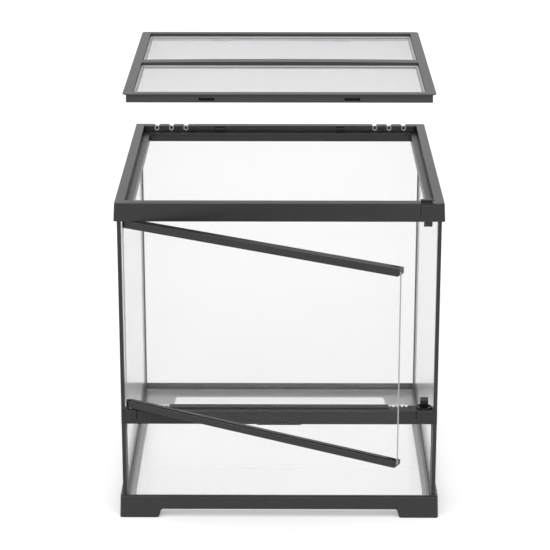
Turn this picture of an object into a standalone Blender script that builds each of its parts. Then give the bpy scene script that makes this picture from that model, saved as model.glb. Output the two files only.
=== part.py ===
"""Glass terrarium: a glass box in moulded frames, with a side-hung front door and a lift-off screen lid.

It is stored as it is shown off: the door ajar and the lid raised straight up off its seat.
Metres, +Z up, the door towards -Y. The origin is on the floor, under the middle of the whole stored shape.
"""

import math

import bmesh
import bpy

# Whole tank
TANK_WIDTH = 0.455
TANK_DEPTH = 0.455
TANK_HEIGHT = 0.467
SEAT_GAP = 0.0003
CORNER_RADIUS = 0.004
CORNER_STEPS = 4
ROUND_STEPS = 24

# Stored pose
DOOR_AJAR_DEG = 30.5
LID_RAISED = 0.145

# Glass
GLASS_THICKNESS = 0.004
GLASS_INSET = 0.005
SEAL_WIDTH = 0.0015
FRONT_SEAL_WIDTH = 0.0005
SEAL_FILLET = 0.0023

# Base frame
BASE_HEIGHT = 0.0335
FOOT_HEIGHT = 0.013
FOOT_LENGTH = 0.057
FOOT_TOE_RADIUS = 0.005
FOOT_FILLET_RADIUS = 0.0042
FOOT_LEAN = 0.0012
BASE_WEB = 0.005
BASE_LEDGE_WIDTH = 0.020
BASE_DRAFT = 0.0012
RIM_BAND = 0.0018
RIM_STEP = 0.0016
BASE_CHANNEL_DEPTH = 0.0025
BASE_WALL = 0.0028

# Top frame
TOP_FRAME_HEIGHT = 0.026
TOP_FRAME_INSET = 0.0005
TOP_FRAME_DRAFT = 0.0014
TOP_EDGE_CHAMFER = 0.0008
TOP_FACE_INNER = 0.015
TOP_BLOCK_INNER = 0.0115
LID_SEAT_DEPTH = 0.0095
LID_LEDGE_WIDTH = 0.0095
LID_LEDGE_THICKNESS = 0.003
LIP_THICKNESS = 0.0025
LIP_RAISE = 0.0036
GLASS_GROOVE = 0.018
FRAME_RIB = 0.0016
FRAME_RIBS = 5

# Black strips on the front edges of the side glass
STRIP_WIDTH = 0.0052
STRIP_THICKNESS = 0.0015
STRIP_LEG = 0.0009
STRIP_LEG_DEPTH = 0.0105

# Bar under the door
SILL_BAR_BOTTOM = 0.1427
SILL_BAR_HEIGHT = 0.0201
SILL_BAR_DEPTH = 0.0208
SILL_FACE_PROUD = 0.0018
SILL_FACE_THICKNESS = 0.0015
SILL_WALL = 0.0020
SILL_DECK = 0.0025
SILL_PANE_GRIP = 0.0059
SLOT_COUNT = 61
SLOT_SHARE = 0.5
SLOT_LENGTH = 0.005
SLOT_DROP = 0.006
SLOT_FROM_SIDE = 0.0475
SILL_TAB_LENGTH = 0.063
SILL_TAB_DROP = 0.0013
SILL_STRIP_FROM_SIDE = 0.0715
SILL_STRIP_WIDTH = 0.012
SILL_STRIP_HEIGHT = 0.0016
SILL_STRIP_CHAMFER = 0.003

# Parting grooves on the front faces
GROOVE_WIDTH = 0.0013
GROOVE_DEPTH = 0.0013
FACE_LINE_FROM_SIDE = 0.0346
FACE_LINE_LENGTH = 0.0131
FACE_LINE_DROP = 0.0035
SILL_GROOVE_FROM_SIDE = 0.0267

# Door
DOOR_RAIL_DEPTH = 0.012
DOOR_TOP_RAIL_HEIGHT = 0.0106
DOOR_BOTTOM_RAIL_HEIGHT = 0.009
DOOR_RAIL_FRONT_WALL = 0.0014
DOOR_RAIL_CHAMFER = 0.0003
DOOR_TOP_GRIP = 0.006
DOOR_BOTTOM_GRIP = 0.0045
DOOR_TOP_CLEARANCE = 0.0008
DOOR_BOTTOM_CLEARANCE = 0.0032
DOOR_SETBACK = 0.0015
DOOR_SIDE_CLEARANCE = 0.0018
DOOR_END_CHAMFER = 0.0026
HINGE_END_INSET = 0.006
HINGE_PIN_DIAMETER = 0.0036
HINGE_PIN_ENGAGED = 0.0032
HINGE_PIN_ROOT = 0.006
HINGE_COLLAR_DIAMETER = 0.008

# Door catches
CATCH_FROM_SIDE = 0.023
CATCH_WIDTH = 0.0115
CATCH_THICKNESS = 0.0032
CATCH_TIP = 0.0008
CATCH_REAR_WALL = 0.0014
CATCH_SLOPE = 0.0046
CATCH_OVER_RAIL = 0.0035
CATCH_GUIDE = 0.0045
CATCH_CLEARANCE = 0.0004
CATCH_POCKET_CLEARANCE = 0.0004
CATCH_SLEEVE_WALL = 0.0009
CATCH_FLANGE_DIAMETER = 0.0215
CATCH_FLANGE_THICKNESS = 0.0012
CATCH_CUP_RIM = 0.0019
CATCH_CUP_DEPTH = 0.0012
CATCH_RELEASE_MARGIN = 0.0004
SPRING_DIAMETER = 0.003
SPRING_WIRE = 0.0005
SPRING_TURNS = 4.5
SPRING_TURN_STEPS = 10
FINGER_STEM_REACH = 0.0093
FINGER_LUG_DEPTH = 0.0038
FINGER_LUG_PROUD = 0.0025
FINGER_RECESS_WIDTH = 0.0164
FINGER_RECESS_DEPTH = 0.0115
FINGER_RECESS_DROP = 0.0025
FINGER_RECESS_MARGIN = 0.001

# Cable inlets
CABLE_PITCH = 0.0225
CABLE_FROM_SIDE = 0.0575
CABLE_HOLES = 3
CABLE_BOWL_RADIUS = 0.003
CABLE_BOWL_DEPTH = 0.0075
CABLE_SLOT_WIDTH = 0.0034
CABLE_SLOT_MOUTH = 0.0086
CABLE_SLOT_DROP = 0.0030
CABLE_HOLE_WEB = 0.0013
CABLE_RING_RADIUS = 0.0038
CABLE_RING_WALL = 0.0016
CABLE_RING_THICKNESS = 0.0015
CABLE_RING_OPEN_DEG = 70.0
CABLE_RING_STEPS = 16
SHUTTER_THICKNESS = 0.0015
SHUTTER_MARGIN = 0.0010
SHUTTER_GROOVE = 0.0021

# Lid latches
REAR_LATCH_SHARE = 0.411
FRONT_LATCH_SHARE = 0.433
LATCH_WIDTH = 0.0136
LATCH_HEIGHT = 0.0033
LATCH_LENGTH = 0.0125
LATCH_BASE_WEB = 0.0016
LATCH_TRAVEL = 0.005
LATCH_SKIRT_GAP = 0.0005
LATCH_BEVEL = 0.0012
LATCH_WINDOW_DEPTH = 0.006

# Lid
LID_RIM_GAP = 0.0006
LID_RIM_THICKNESS = 0.0014
LID_RIM_OVERHANG = 0.0044
LID_CORNER_RADIUS = 0.006
LID_HEIGHT = 0.0128
LID_RAIL_WIDTH = 0.0129
LID_SKIRT = 0.002
LID_PLATE = 0.0016
LID_INNER_WALL = 0.0018
LID_INNER_DEPTH = 0.0092
SCREEN_FLANGE = 0.004
SCREEN_FLANGE_THICKNESS = 0.0016
SCREEN_THICKNESS = 0.0006
SCREEN_COLUMNS = 12
SCREEN_ROWS = 8
SCREEN_BAR = 0.006
SCREEN_BEAD_WIDTH = 0.0024
SCREEN_BEAD_HEIGHT = 0.0016
CROSS_BAR_WIDTH = 0.019
CROSS_BAR_BOW = 0.0012
CROSS_BAR_DROP = 0.0003
LID_SLOT_WIDTH = 0.0209
LID_SLOT_CLEARANCE = 0.0005
LID_POCKET_DEPTH = 0.0043
LID_POCKET_WALL = 0.0014

# Places worked out from the sizes above
HALF_WIDTH = TANK_WIDTH / 2
HALF_DEPTH = TANK_DEPTH / 2
CATCH_X = HALF_WIDTH - CATCH_FROM_SIDE
FACE_LINE_X = HALF_WIDTH - FACE_LINE_FROM_SIDE
SILL_GROOVE_X = HALF_WIDTH - SILL_GROOVE_FROM_SIDE
SLOT_REACH = HALF_WIDTH - SLOT_FROM_SIDE
SLOT_PITCH = 2 * SLOT_REACH / (SLOT_COUNT - 1)
SLOT_WIDTH = SLOT_PITCH * SLOT_SHARE
SILL_STRIP_LENGTH = TANK_WIDTH - 2 * SILL_STRIP_FROM_SIDE
CABLE_MIDDLE_X = HALF_WIDTH - CABLE_FROM_SIDE
REAR_LATCH_X = HALF_WIDTH * REAR_LATCH_SHARE
FRONT_LATCH_X = HALF_WIDTH * FRONT_LATCH_SHARE
GLASS_X = HALF_WIDTH - GLASS_INSET
GLASS_Y = HALF_DEPTH - GLASS_INSET
INNER_X = GLASS_X - GLASS_THICKNESS
INNER_Y = GLASS_Y - GLASS_THICKNESS
BASE_LEDGE_Z = FOOT_HEIGHT + BASE_WEB
GLASS_FOOT_Z = BASE_LEDGE_Z + SEAT_GAP
FLOOR_Z = GLASS_FOOT_Z + GLASS_THICKNESS
SEAL_FOOT_Z = FLOOR_Z + SEAT_GAP
SEAL_START_Z = SEAL_FOOT_Z + SEAL_FILLET + SEAT_GAP
TOP_FRAME_Z = TANK_HEIGHT - TOP_FRAME_HEIGHT
GROOVE_TOP_Z = TOP_FRAME_Z + GLASS_GROOVE
GLASS_TOP_Z = GROOVE_TOP_Z - SEAT_GAP
SEAT_Z = TANK_HEIGHT - LID_SEAT_DEPTH
LEDGE_UNDER_Z = SEAT_Z - LID_LEDGE_THICKNESS
WALL_X = HALF_WIDTH - TOP_FACE_INNER
WALL_Y = HALF_DEPTH - TOP_FACE_INNER
LEDGE_INNER = TOP_FACE_INNER + LID_LEDGE_WIDTH
STRIP_INNER_X = GLASS_X - STRIP_WIDTH
STRIP_REAR_Y = -GLASS_Y + STRIP_THICKNESS
STRIP_LEG_END_Y = STRIP_REAR_Y + STRIP_LEG_DEPTH
FRONT_SEAL_X = STRIP_INNER_X - SEAT_GAP
SILL_TOP_Z = SILL_BAR_BOTTOM + SILL_BAR_HEIGHT
SILL_FRONT_Y = -GLASS_Y - SILL_FACE_PROUD
SILL_REAR_Y = SILL_FRONT_Y + SILL_BAR_DEPTH
SILL_PANE_REAR_Y = -INNER_Y + SEAT_GAP
SILL_CHANNEL_Z = SILL_BAR_BOTTOM + SILL_PANE_GRIP
DOOR_FRONT_Y = -GLASS_Y + DOOR_SETBACK
DOOR_REAR_Y = DOOR_FRONT_Y + DOOR_RAIL_DEPTH
DOOR_LEFT_X = -STRIP_INNER_X + DOOR_SIDE_CLEARANCE - SEAT_GAP
DOOR_RIGHT_X = STRIP_INNER_X - DOOR_SIDE_CLEARANCE
DOOR_TOP_Z = TOP_FRAME_Z - DOOR_TOP_CLEARANCE
DOOR_BOTTOM_Z = SILL_TOP_Z + DOOR_BOTTOM_CLEARANCE
HINGE_X = DOOR_LEFT_X + HINGE_END_INSET
HINGE_Y = DOOR_FRONT_Y + DOOR_RAIL_DEPTH / 2
DOOR_SLOT_FRONT_Y = DOOR_FRONT_Y + DOOR_RAIL_FRONT_WALL
DOOR_SLOT_REAR_Y = DOOR_SLOT_FRONT_Y + GLASS_THICKNESS + 2 * SEAT_GAP
DOOR_GLASS_BOTTOM_Z = DOOR_BOTTOM_Z + DOOR_BOTTOM_RAIL_HEIGHT - DOOR_BOTTOM_GRIP + SEAT_GAP
DOOR_GLASS_TOP_Z = DOOR_TOP_Z - DOOR_TOP_RAIL_HEIGHT + DOOR_TOP_GRIP - SEAT_GAP
CATCH_REAR_Y = DOOR_REAR_Y - CATCH_REAR_WALL - CATCH_POCKET_CLEARANCE
CATCH_FRONT_Y = CATCH_REAR_Y - CATCH_THICKNESS
CATCH_Y = (CATCH_FRONT_Y + CATCH_REAR_Y) / 2
CATCH_STEM_REAR_Y = CATCH_FRONT_Y + CATCH_THICKNESS / 2
BORE_HALF_X = CATCH_WIDTH / 2 + CATCH_CLEARANCE
BORE_HALF_Y = CATCH_THICKNESS / 2 + CATCH_CLEARANCE
SLEEVE_HALF_X = BORE_HALF_X + CATCH_SLEEVE_WALL
SLEEVE_HALF_Y = BORE_HALF_Y + CATCH_SLEEVE_WALL
SPRING_SOLID_HEIGHT = SPRING_WIRE * (SPRING_TURNS + 1)
RECESS_RIGHT = CATCH_X + CATCH_WIDTH / 2 - FINGER_RECESS_MARGIN
RECESS_LEFT = RECESS_RIGHT - FINGER_RECESS_WIDTH
RECESS_Z = TANK_HEIGHT - FINGER_RECESS_DROP
CABLE_HOLE_Z = GROOVE_TOP_Z + CABLE_HOLE_WEB + CABLE_BOWL_RADIUS
CABLE_MOUTH_RADIUS = CABLE_RING_RADIUS + SEAT_GAP
SHUTTER_TRAVEL = CABLE_PITCH / 2
CABLE_SPREAD = CABLE_PITCH * (CABLE_HOLES - 1) / 2 + CABLE_MOUTH_RADIUS
SHUTTER_OUTER = CABLE_MIDDLE_X + CABLE_SPREAD + SHUTTER_TRAVEL + SHUTTER_MARGIN
SHUTTER_INNER = CABLE_MIDDLE_X - CABLE_SPREAD - 2 * SHUTTER_MARGIN
LATCH_Z = GROOVE_TOP_Z + LATCH_BASE_WEB + SEAT_GAP
LID_HALF_X = WALL_X - LID_RIM_GAP
LID_HALF_Y = WALL_Y - LID_RIM_GAP
LID_TOP_Z = SEAT_Z + SEAT_GAP + LID_HEIGHT
LID_WINDOW_X = LID_HALF_X - LID_RAIL_WIDTH
LID_WINDOW_Y = LID_HALF_Y - LID_RAIL_WIDTH
SCREEN_Z = LID_TOP_Z - LID_INNER_DEPTH + SCREEN_FLANGE_THICKNESS + SEAT_GAP
LATCH_TIP_Y = LID_HALF_Y - LID_RIM_OVERHANG + LATCH_SKIRT_GAP
LATCH_TAIL_Y = LATCH_TIP_Y + LATCH_LENGTH

# How far helper shapes run past a face or into the body that they join
OUTSIDE = 0.01
OVERLAP = 0.0004


def clear_scene():
    for item in list(bpy.data.objects):
        bpy.data.objects.remove(item)


def finish(name, colour, roughness, metallic=0.0, transmission=0.0):
    """A plain material with this colour and gloss."""
    made = bpy.data.materials.new(name)
    made.use_nodes = True
    shader = made.node_tree.nodes["Principled BSDF"]
    shader.inputs["Base Color"].default_value = (*colour, 1.0)
    shader.inputs["Roughness"].default_value = roughness
    shader.inputs["Metallic"].default_value = metallic
    shader.inputs["Transmission Weight"].default_value = transmission
    return made


def empty(name, location, parent=None, turn_z=0.0):
    made = bpy.data.objects.new(name, None)
    made.location = location
    made.rotation_euler = (0.0, 0.0, turn_z)
    made.parent = parent
    bpy.context.scene.collection.objects.link(made)
    return made


def solid(name, shape, material, parent, location=(0.0, 0.0, 0.0)):
    """Makes a bmesh into a named object, with its faces turned outwards."""
    bmesh.ops.recalc_face_normals(shape, faces=shape.faces)
    mesh = bpy.data.meshes.new(name)
    shape.to_mesh(mesh)
    shape.free()
    mesh.materials.append(material)
    made = bpy.data.objects.new(name, mesh)
    made.location = location
    made.parent = parent
    bpy.context.scene.collection.objects.link(made)
    return made


def shade_round(target, sharp_deg=35):
    target.data.shade_smooth()
    target.data.set_sharp_from_angle(angle=math.radians(sharp_deg))


def apply_shape(target, name, shape, operation):
    """Joins or cuts a helper shape, which stays in the file as a hidden wire object beside its target."""
    helper = solid(name, shape, target.data.materials[0], target.parent, target.location)
    helper.hide_render = True
    helper.display_type = "WIRE"
    modifier = target.modifiers.new(name, "BOOLEAN")
    modifier.object = helper
    modifier.operation = operation
    modifier.solver = "EXACT"


def cut(target, name, shape):
    apply_shape(target, name, shape, "DIFFERENCE")


def join(target, name, shape):
    apply_shape(target, name, shape, "UNION")


def block(shape, across, along, up):
    """Adds a box, given its two ends along X, Y and Z in either order."""
    ends = (sorted(across), sorted(along), sorted(up))
    corners = [shape.verts.new((x, y, z)) for x in ends[0] for y in ends[1] for z in ends[2]]
    for face in ((0, 1, 3, 2), (4, 6, 7, 5), (0, 4, 5, 1), (2, 3, 7, 6), (0, 2, 6, 4), (1, 5, 7, 3)):
        shape.faces.new([corners[i] for i in face])


def around(middle, half):
    return (middle - half, middle + half)


def prism(shape, outline, axis, start, end):
    """Adds an outline drawn across the named axis, carried along it from start to end."""
    order = {"X": (2, 0, 1), "Y": (0, 2, 1), "Z": (0, 1, 2)}[axis]
    rings = []
    for reach in (start, end):
        points = [(a, b, reach) for a, b in outline]
        rings.append([shape.verts.new([point[i] for i in order]) for point in points])
    bridge(shape, rings)


def bridge(shape, rings):
    """Closes a row of like rings of vertices into one body."""
    shape.faces.new(rings[0])
    shape.faces.new(rings[-1])
    for one, other in zip(rings, rings[1:]):
        for i in range(len(one)):
            j = (i + 1) % len(one)
            shape.faces.new((one[i], one[j], other[j], other[i]))


def circle(centre, radius, steps, start_deg=0.0, end_deg=360.0):
    """Points of an arc; a whole circle leaves its last point out."""
    whole = abs(end_deg - start_deg) >= 360.0
    count = steps if whole else steps + 1
    angles = [math.radians(start_deg + (end_deg - start_deg) * i / steps) for i in range(count)]
    return [(centre[0] + radius * math.cos(a), centre[1] + radius * math.sin(a)) for a in angles]


def rod(shape, centre, radius, start, end):
    """Adds an upright cylinder."""
    prism(shape, circle(centre, radius, ROUND_STEPS), "Z", start, end)


def frame_ring(shape, half_x, half_y, profile, radius, centre_y=0.0):
    """Sweeps a closed profile of (inset, height) points round a rectangle with rounded outer corners."""
    loops = []
    for quarter, (side_x, side_y) in enumerate(((1, 1), (-1, 1), (-1, -1), (1, -1))):
        for step in range(CORNER_STEPS + 1):
            angle = math.pi / 2 * (quarter + step / CORNER_STEPS)
            loop = []
            for inset, height in profile:
                bend = max(radius - inset, 0.0)
                x = side_x * (half_x - inset - bend) + bend * math.cos(angle)
                y = side_y * (half_y - inset - bend) + bend * math.sin(angle) + centre_y
                loop.append(shape.verts.new((x, y, height)))
            loops.append(loop)
    for i, loop in enumerate(loops):
        following = loops[(i + 1) % len(loops)]
        for j in range(len(profile)):
            k = (j + 1) % len(profile)
            shape.faces.new((loop[j], loop[k], following[k], following[j]))
    bmesh.ops.remove_doubles(shape, verts=shape.verts, dist=1e-6)


def mirrored(outline, flip):
    """The outline with its first coordinate turned over when flip is -1."""
    return [(flip * a, b) for a, b in outline]


def foot_arch(half_length):
    """Outline of the gap under one side of the base, between two feet with round toes."""
    toe = half_length - FOOT_LENGTH
    fillet_x = toe - FOOT_LEAN - FOOT_FILLET_RADIUS
    round_toe = circle((toe + FOOT_TOE_RADIUS, FOOT_TOE_RADIUS), FOOT_TOE_RADIUS, 4, 270.0, 180.0)
    fillet = circle((fillet_x, FOOT_HEIGHT - FOOT_FILLET_RADIUS), FOOT_FILLET_RADIUS, 4, 0.0, 90.0)
    rise = [*round_toe, *fillet]
    foot_x = toe + FOOT_TOE_RADIUS
    return [(foot_x, -OUTSIDE), *rise, *mirrored(reversed(rise), -1), (-foot_x, -OUTSIDE)]


def make_base_frame(tank, plastic):
    """Outer skirt with a rim band, a groove and ledge for the glass, and a foot at each corner."""
    band_z = BASE_HEIGHT - RIM_BAND
    band_draft = BASE_DRAFT * band_z / BASE_HEIGHT
    edge = RIM_BAND / 6
    rim = band_draft + RIM_STEP
    groove = GLASS_INSET - SEAT_GAP
    profile = [
        (0.0, 0.0),
        (band_draft, band_z),
        (rim, band_z),
        (rim, BASE_HEIGHT - edge),
        (rim + edge, BASE_HEIGHT),
        (groove, BASE_HEIGHT),
        (groove, BASE_LEDGE_Z),
        (BASE_LEDGE_WIDTH, BASE_LEDGE_Z),
        (BASE_LEDGE_WIDTH, 0.0),
    ]
    shape = bmesh.new()
    frame_ring(shape, HALF_WIDTH, HALF_DEPTH, profile, CORNER_RADIUS)
    frame = solid("base_frame", shape, plastic, tank)

    arches = bmesh.new()
    prism(arches, foot_arch(HALF_WIDTH), "Y", -HALF_DEPTH - OUTSIDE, HALF_DEPTH + OUTSIDE)
    cut(frame, "base_arches_front_back", arches)
    arches = bmesh.new()
    prism(arches, foot_arch(HALF_DEPTH), "X", -HALF_WIDTH - OUTSIDE, HALF_WIDTH + OUTSIDE)
    cut(frame, "base_arches_sides", arches)

    channels = bmesh.new()
    outer = BASE_WALL + BASE_DRAFT
    inner = BASE_LEDGE_WIDTH - BASE_WALL
    foot = FOOT_LENGTH + FOOT_LEAN + FOOT_FILLET_RADIUS + BASE_WALL
    depth = (FOOT_HEIGHT - OUTSIDE / 2, FOOT_HEIGHT + BASE_CHANNEL_DEPTH)
    for side in (-1, 1):
        across = (side * (HALF_DEPTH - outer), side * (HALF_DEPTH - inner))
        block(channels, around(0.0, HALF_WIDTH - foot), across, depth)
        across = (side * (HALF_WIDTH - outer), side * (HALF_WIDTH - inner))
        block(channels, across, around(0.0, HALF_DEPTH - foot), depth)
    cut(frame, "base_under_channels", channels)
    shade_round(frame)


def make_panes(tank, glass):
    """Floor, side, rear and low front glass."""
    upright = (GLASS_FOOT_Z, GLASS_TOP_Z)
    leg_x = STRIP_INNER_X - 2 * SEAT_GAP
    leg_y = STRIP_LEG_END_Y + SEAT_GAP
    floor_x = INNER_X - 2 * SEAT_GAP
    floor_y = INNER_Y - 2 * SEAT_GAP
    outline = [(-leg_x, -floor_y), (leg_x, -floor_y), (leg_x, leg_y), (floor_x, leg_y), (floor_x, floor_y)]
    outline += [(-floor_x, floor_y), (-floor_x, leg_y), (-leg_x, leg_y)]
    shape = bmesh.new()
    prism(shape, outline, "Z", GLASS_FOOT_Z, FLOOR_Z)
    solid("bottom_pane", shape, glass, tank)

    for name, side in (("left_pane", -1), ("right_pane", 1)):
        shape = bmesh.new()
        block(shape, (side * INNER_X, side * GLASS_X), (STRIP_REAR_Y + SEAT_GAP, GLASS_Y), upright)
        solid(name, shape, glass, tank)

    shape = bmesh.new()
    block(shape, around(0.0, INNER_X - SEAL_WIDTH), (INNER_Y, GLASS_Y), upright)
    solid("back_pane", shape, glass, tank)

    shape = bmesh.new()
    half = FRONT_SEAL_X - FRONT_SEAL_WIDTH - SEAT_GAP
    block(shape, around(0.0, half), (-GLASS_Y, -INNER_Y), (GLASS_FOOT_Z, SILL_CHANNEL_Z - 2 * SEAT_GAP))
    solid("front_pane", shape, glass, tank)


def make_strips_and_seals(tank, plastic, silicone):
    """Black strips on the front edges of the side glass, and the silicone beads in the glass corners."""
    strip = [
        (STRIP_INNER_X, -GLASS_Y),
        (GLASS_X, -GLASS_Y),
        (GLASS_X, STRIP_REAR_Y),
        (STRIP_INNER_X + STRIP_LEG, STRIP_REAR_Y),
        (STRIP_INNER_X + STRIP_LEG, STRIP_LEG_END_Y),
        (STRIP_INNER_X, STRIP_LEG_END_Y),
    ]
    back_edge = INNER_X - SEAL_WIDTH + SEAT_GAP
    back_face = INNER_X - SEAT_GAP
    pane_face = INNER_Y - SEAT_GAP
    end = GLASS_Y - SEAT_GAP
    fillet_centre = (back_face - SEAL_FILLET, pane_face - SEAL_FILLET)
    fillet = circle(fillet_centre, SEAL_FILLET, 5, 90.0, 0.0)
    back_seal = [(back_face, end), (back_edge, end), (back_edge, pane_face), *fillet]
    front_edge = FRONT_SEAL_X - FRONT_SEAL_WIDTH
    fillet_centre = (FRONT_SEAL_X - SEAL_FILLET, SEAL_FILLET - pane_face)
    fillet = circle(fillet_centre, SEAL_FILLET, 5, 0.0, -90.0)
    front_seal = [(front_edge, -end), (FRONT_SEAL_X, -end), *fillet, (front_edge, -pane_face)]
    for word, side in (("left", -1), ("right", 1)):
        shape = bmesh.new()
        prism(shape, mirrored(strip, side), "Z", GLASS_FOOT_Z, TOP_FRAME_Z - SEAT_GAP)
        solid(f"{word}_corner_strip", shape, plastic, tank)
        shape = bmesh.new()
        prism(shape, mirrored(back_seal, side), "Z", SEAL_START_Z, TOP_FRAME_Z - SEAT_GAP)
        solid(f"back_{word}_seal", shape, silicone, tank)
        shape = bmesh.new()
        prism(shape, mirrored(front_seal, side), "Z", SEAL_START_Z, SILL_BAR_BOTTOM - SEAT_GAP)
        solid(f"front_{word}_seal", shape, silicone, tank)

    shape = bmesh.new()
    bead = [(0.0, SEAL_FOOT_Z), (0.0, SEAL_FOOT_Z + SEAL_FILLET), (SEAL_FILLET, SEAL_FOOT_Z)]
    frame_ring(shape, FRONT_SEAL_X, pane_face, bead, 0.0)
    solid("floor_seal", shape, silicone, tank)


def make_sill(tank, plastic):
    """Bar under the door: a fascia over the strips, a channel on the low pane and a slotted deck."""
    face_inner = SILL_FRONT_Y + SILL_FACE_THICKNESS
    channel_rear = SILL_PANE_REAR_Y + SILL_FACE_THICKNESS
    web_top = SILL_CHANNEL_Z + SILL_WALL
    deck_under = SILL_TOP_Z - SILL_DECK
    edge_z = SILL_TOP_Z - TOP_EDGE_CHAMFER
    section = [
        (SILL_FRONT_Y, SILL_BAR_BOTTOM),
        (face_inner, SILL_BAR_BOTTOM),
        (face_inner, SILL_CHANNEL_Z),
        (SILL_PANE_REAR_Y, SILL_CHANNEL_Z),
        (SILL_PANE_REAR_Y, SILL_BAR_BOTTOM),
        (channel_rear, SILL_BAR_BOTTOM),
        (channel_rear, web_top),
        (SILL_FRONT_Y + SILL_WALL, web_top),
        (SILL_FRONT_Y + SILL_WALL, deck_under),
        (SILL_REAR_Y - SILL_WALL, deck_under),
        (SILL_REAR_Y - SILL_WALL, web_top),
        (SILL_REAR_Y, web_top),
        (SILL_REAR_Y, SILL_TOP_Z),
        (SILL_FRONT_Y + TOP_EDGE_CHAMFER, SILL_TOP_Z),
        (SILL_FRONT_Y, edge_z),
    ]
    shape = bmesh.new()
    prism(shape, section, "X", -FRONT_SEAL_X, FRONT_SEAL_X)
    bar = solid("sill_bar", shape, plastic, tank)

    ends = bmesh.new()
    for side in (-1, 1):
        across = (side * (FRONT_SEAL_X - 2 * SILL_WALL), side * GLASS_X)
        block(ends, across, (SILL_FRONT_Y, face_inner), (SILL_BAR_BOTTOM, edge_z))
    join(bar, "sill_face_ends", ends)

    tab = bmesh.new()
    side_x = SILL_TAB_LENGTH / 2 - SILL_TAB_DROP
    left_round = circle((-side_x, SILL_BAR_BOTTOM), SILL_TAB_DROP, 4, 180.0, 270.0)
    right_round = circle((side_x, SILL_BAR_BOTTOM), SILL_TAB_DROP, 4, 270.0, 360.0)
    top = SILL_BAR_BOTTOM + SILL_WALL
    outline = [(-SILL_TAB_LENGTH / 2, top), *left_round, *right_round, (SILL_TAB_LENGTH / 2, top)]
    prism(tab, outline, "Y", SILL_FRONT_Y + OVERLAP / 2, face_inner - OVERLAP / 2)
    join(bar, "sill_tab", tab)

    boss = bmesh.new()
    across = (-FRONT_SEAL_X + OVERLAP, HINGE_X + HINGE_COLLAR_DIAMETER / 2)
    along = (SILL_FRONT_Y + SILL_WALL / 2, HINGE_Y + HINGE_COLLAR_DIAMETER / 2)
    block(boss, across, along, (SILL_TOP_Z - HINGE_PIN_ROOT - SILL_WALL, SILL_TOP_Z - SILL_DECK / 2))
    join(bar, "sill_hinge_boss", boss)

    slots = bmesh.new()
    along = (SILL_REAR_Y - SLOT_LENGTH, SILL_REAR_Y + OUTSIDE)
    up = (SILL_TOP_Z - SLOT_DROP, SILL_TOP_Z + OUTSIDE)
    for i in range(SLOT_COUNT):
        block(slots, around(i * SLOT_PITCH - SLOT_REACH, SLOT_WIDTH / 2), along, up)
    cut(bar, "sill_air_slots", slots)

    holes = bmesh.new()
    pin_foot = SILL_TOP_Z - HINGE_PIN_ROOT - SEAT_GAP
    rod(holes, (HINGE_X, HINGE_Y), HINGE_PIN_DIAMETER / 2 + SEAT_GAP, pin_foot, SILL_TOP_Z + OUTSIDE)
    up = (deck_under - OUTSIDE / 2, SILL_TOP_Z + OUTSIDE)
    catch_block(holes, SLEEVE_HALF_X + SEAT_GAP, SLEEVE_HALF_Y + SEAT_GAP, up)
    cut(bar, "sill_pin_and_catch_holes", holes)

    grooves = bmesh.new()
    foot = SILL_BAR_BOTTOM + SILL_BAR_HEIGHT / 3
    for middle in (-SILL_GROOVE_X, FACE_LINE_X):
        along = (SILL_FRONT_Y - OUTSIDE, SILL_FRONT_Y + GROOVE_DEPTH)
        block(grooves, around(middle, GROOVE_WIDTH / 2), along, (foot, SILL_TOP_Z + OUTSIDE))
    cut(bar, "sill_face_grooves", grooves)
    shade_round(bar)

    half = SILL_STRIP_LENGTH / 2
    half_top = half - SILL_STRIP_CHAMFER
    foot = SILL_TOP_Z + SEAT_GAP
    head = foot + SILL_STRIP_HEIGHT
    outline = [(-half, foot), (half, foot), (half_top, head), (-half_top, head)]
    shape = bmesh.new()
    prism(shape, outline, "Y", SILL_REAR_Y - SILL_STRIP_WIDTH, SILL_REAR_Y)
    solid("sill_strip", shape, plastic, tank)


def catch_block(shape, half_x, half_y, up):
    """Adds a box centred on the line of the two door catches."""
    block(shape, around(CATCH_X, half_x), around(CATCH_Y, half_y), up)


def keyhole(middle_x, radius):
    """Outline of one cable inlet: a round bowl with a slot that flares to the top."""
    slot = CABLE_SLOT_WIDTH / 2
    start = math.degrees(math.acos(slot / radius))
    bowl = circle((middle_x, CABLE_HOLE_Z), radius, 14, start, -start - 180.0)
    return [*cable_flare(middle_x, 1), *bowl, *cable_flare(middle_x, -1)]


def cable_flare(middle_x, side):
    """The two points on one side of a cable slot where it flares out through the top."""
    mouth = middle_x + side * CABLE_SLOT_MOUTH / 2
    flare = [(mouth, TANK_HEIGHT + OUTSIDE), (mouth, TANK_HEIGHT)]
    return flare if side > 0 else flare[::-1]


def cable_notch(middle_x):
    """Outline of the open notch that takes one cable over the rail."""
    foot = TANK_HEIGHT - CABLE_SLOT_DROP
    slot = CABLE_SLOT_WIDTH / 2
    floor = [(middle_x + slot, foot), (middle_x - slot, foot)]
    return [*cable_flare(middle_x, 1), *floor, *cable_flare(middle_x, -1)]


def cable_holes(side):
    """Middles of the cable inlets of one side, from the outermost inwards."""
    first = (CABLE_HOLES - 1) / 2
    return [side * (CABLE_MIDDLE_X + (first - i) * CABLE_PITCH) for i in range(CABLE_HOLES)]


def latch_places():
    """Side of the tank and place across it of each lid latch."""
    return [(-1, -FRONT_LATCH_X), (-1, FRONT_LATCH_X), (1, -REAR_LATCH_X), (1, REAR_LATCH_X)]


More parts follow.
